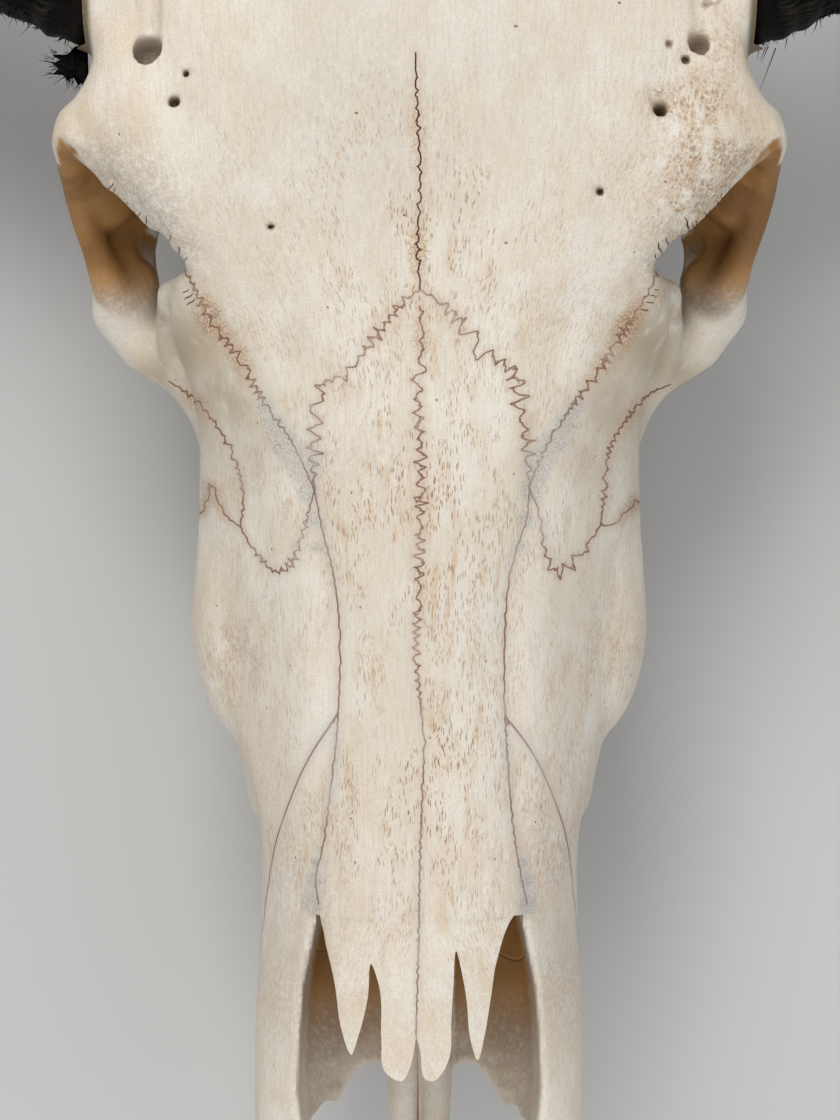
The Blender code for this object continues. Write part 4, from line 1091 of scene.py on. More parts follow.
# Sutures: a dark line in a tan band, with loops of stain in places and chalk in others
seam = bone.mark("seam")
ragged = bone.plus(seam, bone.times(bone.plus(mottle, -0.5), 3.0))
stained = bone.mark("stained")
chalked = bone.mark("chalked")
band = bone.step(ragged, 2.2, 0.2)
loop_far = bone.dots(0.50, 0.42)
loops = bone.times(bone.step(loop_far, 0.30, 0.38), bone.step(loop_far, 0.54, 0.44))
bone.coat(MAUVE, bone.times(band, 0.5))
bone.coat(OCHRE, bone.times(bone.step(ragged, 4.2, 1.0), stained,
                            bone.step(mottle, 0.38, 0.56), 0.7))
bone.coat(SUTURE_BROWN, bone.times(bone.step(ragged, 3.8, 1.6), stained, stained, loops, 0.8))
bone.coat(CHALK, bone.times(bone.step(ragged, 3.6, 1.2), chalked, 0.7))
bone.coat(GREY, bone.times(bone.step(ragged, 3.4, 1.0), chalked, bone.step(fine, 0.52, 0.60), 0.7))
crusted = bone.mark("crusted")
crust = bone.plus(crusted, bone.times(mottle, 0.7))
bone.coat(GREY, bone.times(bone.step(crust, 0.62, 1.05), 0.65))
bone.coat(CHALK, bone.times(bone.step(crust, 0.6, 0.9), bone.step(fine, 0.47, 0.57), 0.9))
core = bone.step(seam, 0.42, 0.08)
strength = bone.step(bone.noise(0.06, 0.05, 0.06), 0.34, 0.56, 0.45, 1)
bone.coat(SUTURE_BROWN, bone.times(core, strength, bone.plus(bone.times(chalked, -0.35), 0.95)))

# The hollows and the holes: brown residue, with painted shade that darkens them deeper
# in and under the brows and leaves them paler where light reaches their floor, and an
# olive band on the bone by the horns
hollow = bone.mark("hollow")
bone.coat(TAUPE, bone.times(bone.step(hollow, 0.0, 0.60), bone.step(mottle, 0.25, 0.60, 0.45, 0.9)))
bone.coat(CAVITY_BROWN,
          bone.times(bone.step(bone.plus(hollow, bone.times(mottle, 0.2)), 0.38, 0.95), 0.95))
# Painted shade: darkest deep in the orbits and the breath passage, and under the brows
bone.coat(CAVITY_PAINTED_SHADE,
          bone.times(bone.step(hollow, 0.60, 1.0), bone.step(clouds, 0.40, 0.60, 0.4, 0.8)))
# Painted shade down the holes: taupe near their mouths, near black deeper in
bore = bone.mark("bore")
bone.coat(TAUPE, bone.times(bone.step(bore, 0.02, 0.30), 0.75))
bone.coat(BORE_PAINTED_SHADE,
          bone.times(bone.step(bore, 0.30, 0.85), bone.step(mottle, 0.30, 0.60, 0.70, 0.95)))
# An olive band on the bone next to each horn's base
bone.coat(HORN_BASE_OLIVE, bone.times(bone.mark("horn_base_band"), bone.step(mottle, 0.30, 0.42, 0.75, 1)))
height = bone.plus(
    bone.times(grain, 0.10), bone.times(fine, 0.08), bone.times(mottle, 0.12),
    bone.times(weathered, mottle, 0.9), bone.times(pores, -0.9), bone.times(marks, -0.30),
    bone.times(core, -0.8), bone.times(chalked, band, fine, 0.5), bone.times(crusted, fine, 0.9))
bone.shader.inputs["Specular IOR Level"].default_value = 0.36
bone_material = bone.done(height, 0.5)

seam_points = np.concatenate(list(sutures.values()))
seam_tree = kdtree.KDTree(len(seam_points))
for number, (x, y) in enumerate(seam_points):
    seam_tree.insert((x, y, 0), number)
seam_tree.balance()


# Heights above which sutures, crust and the other zones can show, and where the
# forehead's grain fans out from
SEAM_LOW = 88.0
CRUST_LOW = 120.0
ZONES_LOW = 60.0
FAN_CENTRE = -60.0
FAR_OFF = 50.0


def spread(points, places):
    """How strongly a list of soft round places covers each point"""
    total = np.zeros(len(points))
    for x, y, reach, size in places:
        far = np.hypot(points[:, 0] - x, points[:, 1] - y)
        total = np.maximum(total, size * np.exp(-(far / reach) ** 2))
    return total


def ramp(value, first, last):
    t = np.clip((value - first) / (last - first), 0, 1)
    return t * t * (3 - 2 * t)


def paint(obj, name, values):
    """Keep a value, or a place in three numbers, with each point of a mesh"""
    values = np.ascontiguousarray(values, np.float32)
    kind, key = ('FLOAT_VECTOR', "vector") if values.ndim > 1 else ('FLOAT', "value")
    layer = obj.data.attributes.new(name, kind, 'POINT')
    layer.data.foreach_set(key, values.ravel())


def part_folds(obj):
    """Add points between the folds of a suture, so that its line stays fine there"""
    def far(place):
        x, y, z = (place - FACE_POINT) / MM
        return seam_tree.find((x, y, 0))[2]

    def part(bm):
        for turn in range(2):
            on_seam = {v for v in bm.verts if v.co.z > SEAM_LOW * MM and far(v.co) < 0.2}
            edges = [e for e in bm.edges if e.verts[0] in on_seam and e.verts[1] in on_seam
                     and far((e.verts[0].co + e.verts[1].co) / 2) > 0.25]
            bmesh.ops.subdivide_edges(bm, edges=edges, cuts=1)
            bmesh.ops.triangulate(bm, faces=[face for face in bm.faces if len(face.verts) > 3])

    reshape(obj, part)


def seam_distance(points, node):
    """How far each point lies from the nearest suture, seen from above"""
    x, y, z = points.T
    seam = np.full(len(points), FAR_OFF)
    top = z > SEAM_LOW
    seam[top] = [seam_tree.find((a, b, 0))[2] for a, b in points[top, :2].tolist()]
    for side in (-1, 1):
        # The seam of the muzzle slopes down across it, so its own plane is used
        a, b, c = np.array(MUZZLE_SEAM[side], float)
        normal = np.cross(b - a, c - a)
        far = np.abs((points - a) @ (normal / np.linalg.norm(normal)))
        beside = (x * side > 24) & (y < -44) & (y > -150) & ("nasal" not in node)
        seam[beside] = np.minimum(seam[beside], far[beside])
    bar = (y < -151) & (np.abs(x) < 4) & (z < 118)
    seam[bar] = np.minimum(seam[bar], np.abs(x[bar] + 0.5))
    return seam


def in_passage(points):
    """How deep in the breath passage each point lies, and so how brown it is: the brown
    residue, and painted shade that darkens it further in
    """
    side_x, y, z = np.abs(points[:, 0]), points[:, 1], points[:, 2]
    half, low = curve(list(PASSAGE), list(PASSAGE.values()), y).T
    lid = np.interp(y, (-165, -112, -60, 20), (149, 153, 156, 160)) - (side_x / 34) ** 2 * 6
    inside = (ramp(side_x, half + 1.5, half - 1.5) * ramp(z, low - 6, low)
              * ramp(z, lid - 3, lid - 5) * (y < 0))
    tongues = (side_x < 12) & (z < 100)
    return inside * (0.40 + 0.60 * ramp(y + 0.4 * (z - 90), -178, -132)) * np.where(tongues, 0, 0.9)


def in_orbit(points, faces_out):
    """How deep in the orbit each point lies, and so how brown and how dark it is: the brown
    residue, and painted shade deeper in and towards the brow
    """
    side_x, y, z = np.abs(points[:, 0]), points[:, 1], points[:, 2]
    eye = rod(((86, 116, 118, 22.5), (114, 91, 128, 23.5)), (0.70, 0.72, 0), 0.80)[0](side_x, y, z)
    behind = rod(((64, 118, 112, 15), (76, 98, 98, 9.5), (80, 103, 60, 11)))[0](side_x, y, z)
    deep = ramp(np.minimum(eye, behind), 4, 0.8) * ramp(y + 0.25 * (z - 120), 60, 106)
    # Painted shade under the brow and on the bar behind the eye, which leans outwards, but not outside
    # it
    rim_x, rim_y = np.array(BROW_RIM).T
    out, along = side_x - 0.115 * (150 - z), y - 0.12 * (150 - z)
    under = np.interp(out, rim_x[::-1], rim_y[::-1]) - along
    bar = np.interp(along, (104, 111, 120, 127, 133), (109.6, 110.8, 112.4, 115.2, 117.0))
    painted_shade_under_brow = ramp(under, 0.2, 1.2) * ramp(out, bar, bar - 1.4) * ramp(y, 96, 112)
    painted_shade_under_brow *= (side_x > 74) * (z > 90) * ramp(faces_out, 0.8, 0.45)
    # The lacrimal's hook in front of the eye stays pale
    return np.maximum(deep, painted_shade_under_brow) * (1 - ramp(z, 123, 128) * (side_x < 88) * (y < 93.5))


def in_bore(points):
    """How deep in a hole each point lies, and so how much painted shade it gets, with a
    little for the gutters over the eyes
    """
    x, y, z = points.T
    bore = np.zeros(len(points))
    for path in GUTTERS:
        bore = np.maximum(bore, 0.10 * ramp(rod(path)[0](x, y, z), 1.6, -0.4) * ramp(y, 204, 186))
    for path in HOLES:
        first = np.array(path[0][:3])
        inwards = np.array(path[-1][:3]) - first
        depth = (points - first) @ inwards / inwards.dot(inwards)
        bore = np.maximum(bore, ramp(rod(path)[0](x, y, z), 1.0, -0.2) * ramp(depth, 0.5, 1.3))
    return bore


def grain_places(points):
    """The grain runs along the muzzle, down its sides, and fans out over the forehead"""
    x, y, z = points.T
    fan = ramp(y, 20, 110)
    reach = np.hypot(x, y - FAN_CENTRE)
    flat = x + (np.arctan2(x, y - FAN_CENTRE) * 120 - x) * fan
    drop = z - curve(list(ROOF), [row[0] for row in ROOF.values()], y)
    return np.stack([flat - np.sign(x) * drop, y + (reach + FAN_CENTRE - y) * fan,
                     np.abs(x) + drop], 1)


def finish_bone(obj, node):
    """Work out where the stains, marks and painted shade lie, and put the bone in its place"""
    part_folds(obj)
    points = mesh_points(obj.data)
    x, y, z = points.T
    normals = np.zeros(len(points) * 3, np.float32)
    obj.data.vertices.foreach_get("normal", normals)
    faces_out = normals.reshape(-1, 3)[:, 0] * np.sign(x)
    paint(obj, "seam", seam_distance(points, node))
    paint(obj, "bore", in_bore(points))
    paint(obj, "hollow", np.maximum(in_orbit(points, faces_out), in_passage(points)))
    paint(obj, "crusted", spread(points, CRUSTED) * (z > CRUST_LOW))
    for name, spots in ZONES.items():
        paint(obj, name, spread(points, spots) * (z > ZONES_LOW))
    paint(obj, "grain", grain_places(points))
    # The olive band: a strip of bone just inside each horn's base
    paint(obj, "horn_base_band", ramp(np.abs(x), 103.2, 105.6) * (y > 158) * (z > 80))
    obj.data.materials.clear()
    obj.data.materials.append(bone_material)
    obj.data.shade_smooth()
    obj.data.set_sharp_from_angle(angle=math.radians(42))
    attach(obj, "root")
    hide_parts(node)


def part_off(name, rest, make_cutter):
    """Cut one bone from the rest along its sutures"""
    piece = bpy.data.objects.new(name, rest.data.copy())
    bpy.context.scene.collection.objects.link(piece)
    cutter = make_cutter()
    boolean(piece, cutter, 'INTERSECT')
    cut_with(rest, cutter, 'DIFFERENCE')
    keep_largest(piece)
    keep_largest(rest)
    return piece


# The forehead plate
# The broad frontal bone roofs the eyes and runs out to the roots of the horns. Its
# two halves have grown together, with a fine folded line left down the middle
def frontal_cutter():
    plan = joined([(-140, 320), (-140, 112), (-90, 104)], sutures["frontolacrimal left"],
                  sutures["frontonasal left"][::-1], sutures["frontonasal right"],
                  sutures["frontolacrimal right"][::-1], [(90, 104), (140, 112), (140, 320)])
    body = prism(plan, 128, 220)
    for side in (1, -1):
        root = [(76 * side, 150), (140 * side, 150), (140 * side, 300), (76 * side, 300)]
        cut_with(body, prism(root, 101, 180), 'UNION')
    return body


def slits(courses, low):
    """Cracks that narrow from their open ends, as one cutter down to a height"""
    bm = bmesh.new()
    for wide, *course in courses:
        at, line, ahead, across = run_along(course, 0.7)
        line = line + across * (0.22 * np.sin(at * 2.1 + wide * 9))[:, None]
        half = across * (np.linspace(wide, 0.25, len(line)) / 2)[:, None]
        piece = prism(joined(line + half, (line - half)[::-1]), low, 180)
        bm.from_mesh(piece.data)
        remove(piece)
    cutter = new_mesh("cutter", np.zeros((0, 3)), [])
    bm.to_mesh(cutter.data)
    bm.free()
    return cutter


# How far along a brow's rim its first crack opens, and how deep the cracks go down
CRACKS_FROM = 25.0
CRACKS_LOW = 146.0


def brow_cracks(side):
    """Cracks in from the rim of a brow, longer towards the nose: each one's width at
    the rim, then the way that it runs"""
    rng = np.random.RandomState(70 + side)
    at, line, ahead, across = run_along(BROW_RIM, 0.5)
    across = across * np.sign(across[:, 1:])
    courses, place = [], CRACKS_FROM
    while place < at[-1] - 2:
        share = place / at[-1]
        k = int(share * (len(line) - 1))
        length = rng.uniform(0.2, 1.0) + rng.uniform(0, 1) ** 2 * 6 * share
        wide = rng.uniform(0.8, 1.5) + rng.uniform(0, 1) ** 2 * 0.8 * share
        way = across[k] * (1 - 0.6 * share) + np.array((rng.normal(0, 0.12), 0.6 * share))
        halfway = line[k] + way * length * 0.5 + ahead[k] * rng.normal(0, 0.3)
        course = (line[k] - across[k] * 1.6, halfway, line[k] + way * length)
        courses.append((wide, *[tuple(spot * (side, 1)) for spot in course]))
        place += wide + rng.uniform(0.5, 1.5) + rng.uniform(0, 1) ** 2 * 2.5
    return courses


# Cracks where the lacrimals meet the brows
TEAR_SLITS = (
    (0.7, (-75.6, 84.5), (-73.2, 86)), (0.7, (-74.9, 82.8), (-71.6, 84.5)),
    (0.7, (-74, 81), (-71.2, 82.8)), (0.7, (77.2, 86.2), (74.6, 85.6)),
    (0.7, (76, 84), (73.2, 83.8)), (0.7, (74.6, 81.8), (71.8, 81.8)),
    (0.7, (72.8, 79.4), (70.2, 79.4)),
)
# The line down the forehead is a groove this wide, down to this height
GROOVE_WIDE = 0.32
GROOVE_LOW = 164.5

frontal = part_off("frontal_bone", skull, frontal_cutter)
for side in (1, -1):
    cut_with(frontal, slits(brow_cracks(side), CRACKS_LOW), 'DIFFERENCE')
line = sutures["forehead"]
ahead = np.gradient(line, axis=0)
across = np.stack([-ahead[:, 1], ahead[:, 0]], 1) / np.linalg.norm(ahead, axis=1)[:, None]
half = across * (GROOVE_WIDE / 2)
cut_with(frontal, prism(np.concatenate([line + half, (line - half)[::-1]]), GROOVE_LOW, 175),
         'DIFFERENCE')
finish_bone(frontal, "frontal")

# The braincase
# The back of the skull in one fused piece: brain shell, ear bones, the base under it
# and the two knuckles that the neck turned on
def braincase_cutter():
    half = [(56, 79), (60, 97), (79, 98), (79, 167), (150, 167), (150, 320)]
    return prism([(-x, y) for x, y in half[::-1]] + half, -20, 200)


braincase = part_off("braincase_bone", skull, braincase_cutter)
finish_bone(braincase, "braincase")

# The two sides of the face
# Each side is parted along the middle: nasal bone with its prongs, lacrimal bone
# before the eye, cheekbone, incisive bone at the tip, and the upper jaw
middle_line = joined([(0.2, 320)], sutures["internasal"], [(-0.6, -175), (0, -300)])


def right_half_cutter():
    return prism(joined(middle_line, [(160, -300), (160, 320)]), -20, 260)


right_side = part_off("right_side", skull, right_half_cutter)
for side, rest in ((1, right_side), (-1, skull)):
    tag = "right" if side > 0 else "left"

    def nasal_cutter():
        plan = joined([(-5 * side, 90)],
                      sutures["frontonasal " + tag], sutures["nasomaxillary " + tag],
                      run_along(PRONGS[side], 1.0)[1], [(-5 * side, -151)])
        return prism(plan, 137, 200)

    def lacrimal_cutter():
        plan = joined(sutures["frontolacrimal " + tag][::-1], [(87 * side, 90), (87 * side, 67)],
                      sutures["lacrimal cheek " + tag], sutures["lacrimal tip " + tag])
        return prism(plan, 98, 200)

    def zygomatic_cutter():
        plan = joined([(79 * side, 80), (79.5 * side, 62)],
                      [p for p in sutures["lacrimal cheek " + tag] if abs(p[0]) < 78.5],
                      sutures["cheek notch " + tag][::-1],
                      [(140 * side, 20), (140 * side, 200), (79 * side, 200)])
        return prism(plan, 76, 200)

    def premaxilla_cutter():
        """Everything in front of the seam that slopes down across the muzzle"""
        a, b, c = np.array(MUZZLE_SEAM[side], float)
        normal = np.cross(b - a, c - a)
        normal *= -np.sign(normal[1]) / np.linalg.norm(normal)
        across = np.cross(normal, (0, 0, 1.0))
        across /= np.linalg.norm(across)
        up = np.cross(across, normal)
        corners = [a + normal * depth + across * i * 300 + up * j * 300
                   for depth in (0, 300) for i, j in ((-1, -1), (1, -1), (1, 1), (-1, 1))]
        faces = [(0, 1, 2), (0, 2, 3), (4, 6, 5), (4, 7, 6), (0, 5, 1), (0, 4, 5),
                 (1, 6, 2), (1, 5, 6), (2, 7, 3), (2, 6, 7), (3, 4, 0), (3, 7, 4)]
        cutter = new_mesh("cutter", corners, faces)
        reshape(cutter, lambda bm: bmesh.ops.recalc_face_normals(bm, faces=bm.faces))
        return cutter

    nasal = part_off("nasal_bone_" + tag, rest, nasal_cutter)
    finish_bone(nasal, "nasal_" + tag)
    around = [(-5 * side, -113), (33 * side, -113), (33 * side, -180), (-5 * side, -180)]
    cut_with(rest, prism(around, 137, 200), 'DIFFERENCE')
    keep_largest(rest)
    lacrimal = part_off("lacrimal_bone_" + tag, rest, lacrimal_cutter)
    cut_with(lacrimal, slits(TEAR_SLITS, CRACKS_LOW + 0.5), 'DIFFERENCE')
    finish_bone(lacrimal, "lacrimal_" + tag)
    finish_bone(part_off("cheekbone_" + tag, rest, zygomatic_cutter), "zygomatic_" + tag)
    finish_bone(part_off("incisive_bone_" + tag, rest, premaxilla_cutter), "premaxilla_" + tag)
    rest.name = "upper_jaw_" + tag
    finish_bone(rest, "maxilla_" + tag)

# The cheek teeth
# Six grinders on each side, in cream enamel that is ribbed on the outside and worn to
# crescent ridges on the chewing face, each set by its root in the upper jaw
TEETH = ((13, 14), (16, 17), (17, 19), (22, 22), (27, 23), (30, 22))
TOOTH_GAP = 0.6
TOOTH_SIDES = 72
# The wall's levels from the root down and their sizes, then the rings of the face
TOOTH_WALL = ((9, 0.84), (5, 0.90), (0, 0.93), (-5, 0.96), (-9, 0.98), (-12, 1.0), (-14, 1.0))
TOOTH_FACE = (1.0, 0.93, 0.86, 0.78, 0.70, 0.60, 0.50, 0.40, 0.30, 0.20, 0.10)

enamel = Finish("tooth enamel", (0.70, 0.60, 0.43, 1), 0.34)
enamel.coat((0.46, 0.32, 0.17, 1), enamel.step(enamel.noise(0.5, 0.5, 0.9, 4), 0.45, 0.68))
enamel.coat((0.20, 0.12, 0.06, 1), enamel.times(enamel.mark("root"), 0.7))
enamel.coat((0.16, 0.10, 0.055, 1), enamel.times(enamel.mark("worn"), 0.8))
enamel_material = enamel.done(enamel.noise(1.6, 1.6, 0.5, 4), 0.3, 0.5)


def stacked(rings, sides, first=0):
    """Faces over a stack of rings of points, closed at both ends"""
    turn = np.arange(sides)
    after = (turn + 1) % sides
    low = first + np.arange(rings - 1)[:, None] * sides
    quads = np.stack([low + turn, low + after, low + sides + after, low + sides + turn], -1)
    last = first + (rings - 1) * sides
    ends = [tuple(range(first, first + sides))[::-1], tuple(range(last, last + sides))]
    return [tuple(face) for face in quads.reshape(-1, 4).tolist()] + ends


def sided_mesh(name, points, faces, side):
    """A piece made for the right side, turned over where it belongs on the left"""
    points = np.array(points, float)
    if side < 0:
        points[:, 0] *= -1
        faces = [face[::-1] for face in faces]
    obj = new_mesh(name, points, faces)
    obj.data.shade_smooth()
    return obj, points


def tooth(name, length, breadth, lobes, x, y, side):
    """Ribbed outer wall from the socket down to the chewing face, then the face"""
    turns = np.linspace(0, 2 * math.pi, TOOTH_SIDES, endpoint=False)
    waist = 1 - (0.12 * np.abs(np.sin(turns * lobes)) ** 3 if lobes > 1 else 0)
    ribs = 1 + 0.035 * np.cos(turns * 4 * lobes) * (np.cos(turns) > -0.2)
    edge_x = np.cos(turns) * breadth / 2 * waist * ribs
    edge_y = np.sin(turns) * length / 2 * (1 - 0.04 * np.cos(2 * turns))
    points, worn, root = [], [], []
    for depth, size in TOOTH_WALL:
        level = np.maximum(palate(y) + depth, bite(y) + 1.4)
        points.append(np.stack([edge_x * size, edge_y * size, np.full(TOOTH_SIDES, level)], 1))
        worn.append(np.zeros(TOOTH_SIDES))
        root.append(np.full(TOOTH_SIDES, 1.0 if depth > -3 else 0.0))
    for inward in TOOTH_FACE:
        px, py = edge_x * inward, edge_y * inward
        lobe = np.abs(py) / (length / 2) * lobes % 1.0 if lobes > 1 else np.abs(py) / (length / 2)
        crescent = np.abs(np.abs(px / (breadth / 2)) - 0.42 - 0.18 * np.cos(math.pi * lobe))
        dip = 1.5 * np.exp(-(crescent / 0.13) ** 2) + (0.5 if inward < 0.95 else 0)
        level = bite(py + y) + 1.0 + dip - 1.0 * (0.75 < inward < 0.97)
        points.append(np.stack([px, py, np.maximum(level, 0.02)], 1))
        worn.append(np.clip(dip / 1.5, 0, 1) * (inward < 0.95))
        root.append(np.zeros(TOOTH_SIDES))
    # The rings run downwards, so the faces are turned about
    faces = [face[:1] + face[:0:-1] for face in stacked(len(points), TOOTH_SIDES)]
    obj, points = sided_mesh(name, np.concatenate(points) + (x, y, 0), faces, side)
    paint(obj, "grain", points)
    paint(obj, "worn", np.concatenate(worn))
    paint(obj, "root", np.concatenate(root))
    obj.data.materials.append(enamel_material)
    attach(obj, "root")


row_y, row_x = zip(*ROW_X)
for side, tag in ((1, "right"), (-1, "left")):
    rear = BITE_REAR_Y + 2.0
    for number, (length, breadth) in enumerate(reversed(TEETH)):
        y = rear - length / 2
        rear -= length + TOOTH_GAP
        x = float(np.interp(y, row_y, row_x))
        tooth("cheek_tooth_%s_%d" % (tag, number + 1), length, breadth,
              2 if number < 3 else 1, x, y, side)

# The horns
# Hollow sheaths of black keratin, laid down in rings, flattened and swept out and
# back to a point. Each slips over a bony root, and its edge there frays into fibres
HORN_PATH = (
    (107, 214, 130, 1.0), (140, 230, 127, 0.955), (185, 252, 122, 0.88),
    (228, 274, 119, 0.8), (266, 301, 119, 0.7), (297, 336, 123, 0.59),
    (316, 378, 129, 0.46), (323, 422, 137, 0.3), (319, 462, 147, 0.1),
)
HORN_RINGS = 420
HORN_SIDES = 128
HORN_BLACK = (0.0022, 0.002, 0.0018, 1)
HORN_GREY = (0.011, 0.0095, 0.008, 1)
RING_GREY = (0.06, 0.05, 0.04, 1)
EDGE_BROWN = (0.012, 0.009, 0.007, 1)

keratin = Finish("horn keratin", HORN_BLACK, 0.55)
layers = keratin.noise(0.35, 0.35, 0.35, 5)
streaks = keratin.noise(0.12, 1.4, 1.4, 4)
keratin.coat(HORN_GREY, keratin.step(layers, 0.46, 0.70))
keratin.coat(RING_GREY,
             keratin.times(keratin.mark("crest"), keratin.step(streaks, 0.40, 0.66), 0.4))
keratin.coat(EDGE_BROWN, keratin.times(keratin.mark("edge"), 0.6))
rough = keratin.step(layers, 0.35, 0.7, 0.45, 0.68)
keratin.tree.links.new(rough, keratin.shader.inputs["Roughness"])
keratin.shader.inputs["Specular IOR Level"].default_value = 0.05
height = keratin.plus(keratin.times(streaks, 0.5), keratin.times(layers, 0.4))
keratin_material = keratin.done(height, 0.5, 0.55)


def horn_frame(at):
    """Middle, size and the two ways across the horn at places along it"""
    path = np.array(HORN_PATH, float)
    knots = np.arange(len(path))
    middle = curve(knots, path, at)
    ahead = np.gradient(middle[:, :3], axis=0)
    ahead /= np.linalg.norm(ahead, axis=1)[:, None]
    swing = np.clip(at / 1.9, 0, 1)[:, None]
    ahead = ahead * swing + np.array((1.0, 0, 0)) * (1 - swing)
    ahead /= np.linalg.norm(ahead, axis=1)[:, None]
    back = np.cross((0, 0, 1.0), ahead)
    back /= np.linalg.norm(back, axis=1)[:, None]
    return middle[:, :3], middle[:, 3], back, np.cross(ahead, back), ahead


def horn(tag, side):
    """A sheath, ringed by growth, from its ragged edge round the core to its tip"""
    rng = np.random.RandomState(40 + side)
    at = np.linspace(0, len(HORN_PATH) - 1, HORN_RINGS)
    middle, size, back, up, ahead = horn_frame(at)
    reach = np.concatenate([[0], np.cumsum(np.linalg.norm(np.diff(middle, axis=0), axis=1))])
    turns = np.linspace(0, 2 * math.pi, HORN_SIDES, endpoint=False)
    place, turn = reach[:, None], turns[None]
    # Growth rings crowd at the root and fade towards the smooth tip
    gaps = np.cumsum(rng.uniform(6, 13, 60))
    wander = 2.2 * np.sin(2 * turn + 0.02 * place) + 1.3 * np.sin(3 * turn + 1 + 0.05 * place)
    where = place + wander
    ring = np.zeros(where.shape)
    for gap in gaps[gaps < reach[-1] * 0.72]:
        width = rng.uniform(1.3, 2.8)
        ring += rng.uniform(0.6, 1.7) * np.exp(-((where - gap) / width) ** 2)
    fade = np.clip(1.1 - place / (reach[-1] * 0.75), 0, 1)
    rough = 0.25 * np.sin(9 * turn + 0.11 * place) + 0.2 * np.sin(17 * turn - 0.07 * place)
    lift = (ring + rough) * fade
    flat = 1 - 0.10 * np.cos(turn) ** 2 * np.sin(turn) ** 2
    wide = back[:, None] * (np.cos(turn) * flat)[..., None] * HORN_HALF_LONG
    tall = up[:, None] * (np.sin(turn) * flat)[..., None] * HORN_HALF_TALL
    points = middle[:, None] + (wide + tall) * size[:, None, None]
    outward = (wide / HORN_HALF_LONG + tall / HORN_HALF_TALL)
    outward /= np.linalg.norm(outward, axis=2)[..., None]
    points += outward * (lift - 0.6)[..., None]
    ragged = 1.6 + 1.1 * np.sin(5 * turns + side) + 0.9 * np.sin(13 * turns + 2)
    ragged = np.maximum(ragged + rng.uniform(0, 1.3, HORN_SIDES), 0)
    points[0, :, 0] = HORN_BASE_X
    points[1:, :, 0] += (np.clip(1 - reach / 14, 0, 1)[:, None] * ragged[None])[1:] * 0.6
    points[..., 0] = np.maximum(points[..., 0], HORN_BASE_X)
    cap = middle[0] + (points[0] - middle[0]) * 0.86
    cap[:, 0] = HORN_BASE_X
    points = np.concatenate([cap[None], points])
    faces = stacked(len(points), HORN_SIDES)
    obj, flat_points = sided_mesh("horn_sheath_" + tag, points.reshape(-1, 3), faces, side)
    reach = np.concatenate([[0], reach])[:, None] + 0 * turns
    grain = np.stack([reach, np.cos(turns) * 35 + 0 * reach, np.sin(turns) * 30 + 0 * reach], -1)
    crest = np.clip(ring * fade, 0, 1.4) / 1.4
    paint(obj, "grain", grain.reshape(-1, 3))
    paint(obj, "crest", np.concatenate([0 * crest[:1], crest]).ravel())
    paint(obj, "edge", np.clip(1 - reach / 9, 0, 1).ravel())
    obj.data.materials.append(keratin_material)
    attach(obj, "root")
    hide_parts("horn_" + tag)


# Strands that hang from the sheaths' front edges: start, way and length in mm
STRANDS = {
    1: (((115.5, 166, 127), (-5.2, -14, -1), 15), ((113, 166.5, 128), (-2.4, -6, 0), 6.2),
        ((112.4, 166.5, 126), (-2.2, -5.2, 0), 5), ((110, 166, 128), (-0.6, -4, 0), 4),
        ((119, 169, 128), (-0.6, -4, 0), 4)),
    -1: (((110, 160, 126), (1.0, -5, 0), 6), ((112, 158, 126), (2, -4, 0), 5),
         ((115, 157, 126), (3, -2, 0), 5), ((118, 158, 126), (4, -0.6, 0), 5),
         ((118, 161, 127), (5, 1, 0), 6)),
}
# The torn flap that hangs from the left sheath's front edge
FLAP = ((107.6, 167), (111.5, 166.5), (114, 164.2), (119, 163.6), (116.5, 162.3),
        (118.8, 160.8), (117.2, 159.4), (118.6, 157.6), (115.6, 157.2), (114.2, 155.4),
        (112.4, 156.4), (110.6, 154.2), (109.4, 155), (107.8, 151.2), (107.4, 156))
FLAP_HEIGHT = 127.0
FLAP_THICK = 0.9
FIBRES = 520
FLAP_FIBRES = 110


def flap():
    """A stiff shred of keratin, thin and a little cupped"""
    at, line, ahead, across = run_along(FLAP + FLAP[:1], 0.6)
    rim = line[:-1]
    middle = rim.mean(0)
    points, faces, count = [], [], len(rim)
    for lift in (0, -FLAP_THICK):
        for share in (1.0, 0.75, 0.5, 0.25):
            ring = middle + (rim - middle) * share
            level = FLAP_HEIGHT + 1.6 * (1 - share) + 0.5 * np.sin(ring[:, 0] * 1.3) + lift
            points += [(x, y, z) for (x, y), z in zip(ring, level)]
    points += [(*middle, FLAP_HEIGHT + 1.6), (*middle, FLAP_HEIGHT + 1.6 - FLAP_THICK)]
    for n in range(count):
        m = (n + 1) % count
        for row in range(3):
            a, b = row * count, (row + 1) * count
            faces.append((a + n, a + m, b + m, b + n))
            a, b = a + 4 * count, b + 4 * count
            faces.append((a + m, a + n, b + n, b + m))
        faces.append((3 * count + n, 3 * count + m, 8 * count))
        faces.append((7 * count + m, 7 * count + n, 8 * count + 1))
        faces.append((n, 4 * count + n, 4 * count + m, m))
    return points, faces


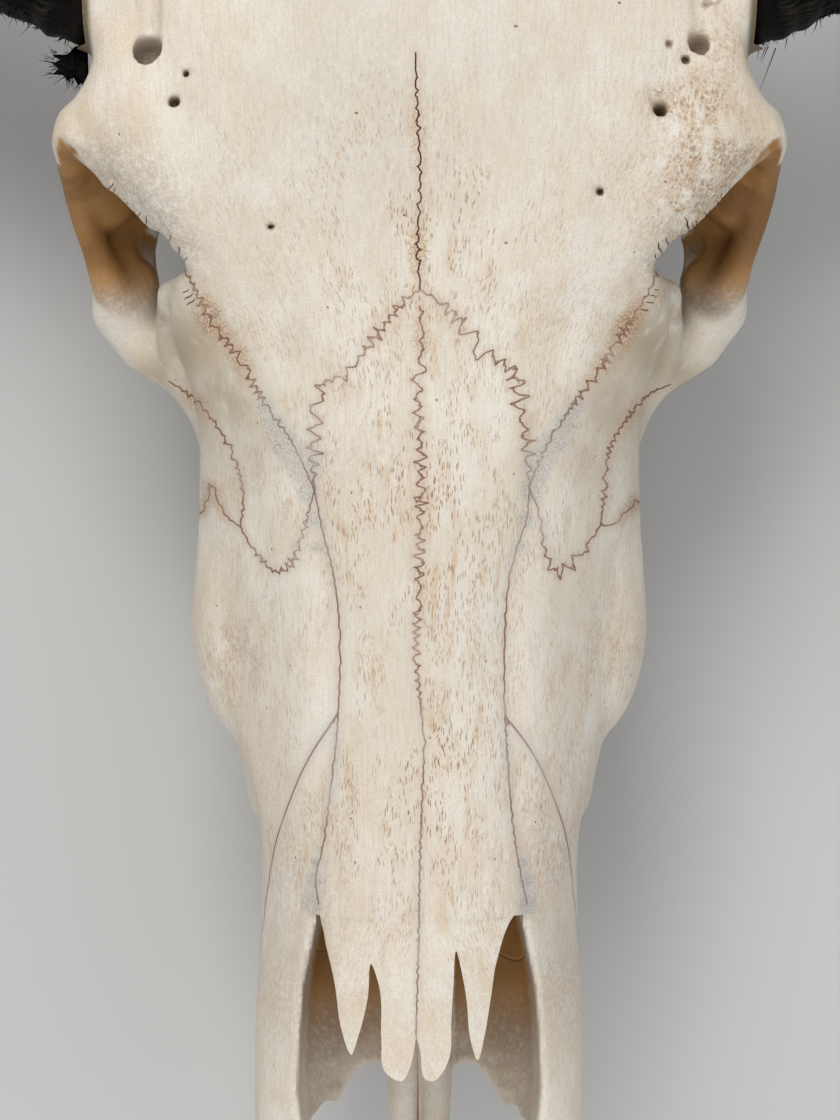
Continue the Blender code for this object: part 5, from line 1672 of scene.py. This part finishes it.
def fray(tag, side):
    """Loose keratin fibres round the sheath's edge, thickest in front"""
    rng = np.random.RandomState(60 + side)
    points, faces = [], []
    for number in range(FIBRES):
        turn = rng.normal(math.pi, 0.6) if number % 4 else rng.uniform(0, 2 * math.pi)
        out = rng.uniform(0, 1) ** 1.1 * 40
        middle, size, back, up, ahead = horn_frame(np.array([0, 0.02, out / 36.0]))
        start = middle[2] + (back[2] * math.cos(turn) * HORN_HALF_LONG
                             + up[2] * math.sin(turn) * HORN_HALF_TALL) * size[2] * 0.985
        away = back[2] * math.cos(turn) + up[2] * math.sin(turn) * 0.8
        along = (ahead[2] * rng.normal(-0.3, 0.5) + away * rng.uniform(0.15, 0.8)
                 + rng.normal(0, 0.22, 3))
        along /= np.linalg.norm(along)
        length = rng.uniform(0.8, 3.2) * (1.7 if number % 9 == 0 else 1)
        bend = rng.normal(0, 0.35, 3)
        thick = rng.uniform(0.12, 0.32)
        if number < len(STRANDS[side]):
            place, way, length = STRANDS[side][number]
            start, along, bend, thick = (
                np.array(place), np.array(way) / np.linalg.norm(way), np.zeros(3), 0.2)
        elif side < 0 and number < FLAP_FIBRES:
            rim = np.array(FLAP[2:-2])[rng.randint(len(FLAP) - 4)] + rng.normal(0, 0.9, 2)
            start = np.array((*(rim - (0.5, 0)), FLAP_HEIGHT))
            way = np.array((*(rim - (111, 159)), 0)) + rng.normal(0, 3.0, 3) * (1, 1, 0.4)
            along, length, thick = (
                way / np.linalg.norm(way), rng.uniform(1.0, 3.4), rng.uniform(0.08, 0.16))
        across = np.cross(along, (0.3, 0.2, 0.9))
        across /= np.linalg.norm(across)
        other = np.cross(along, across) * 0.6
        faces += stacked(6, 4, len(points))
        for t in np.linspace(0, 1, 6):
            spot = start + along * length * t + bend * length * t * t * 0.6
            spot[0] = max(spot[0], HORN_BASE_X - 1.5)
            spot[2] = max(spot[2], 1)
            radius = thick * (1 - 0.85 * t)
            points += [spot + way * radius for way in (across, other, -across, -other)]
    if side < 0:
        more, sheets = flap()
        faces += [tuple(corner + len(points) for corner in face) for face in sheets]
        points += more
    obj, points = sided_mesh("horn_fibres_" + tag, points, faces, side)
    paint(obj, "grain", points)
    obj.data.materials.append(keratin_material)
    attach(obj, "root")


for side, tag in ((1, "right"), (-1, "left")):
    horn(tag, side)
    fray(tag, side)
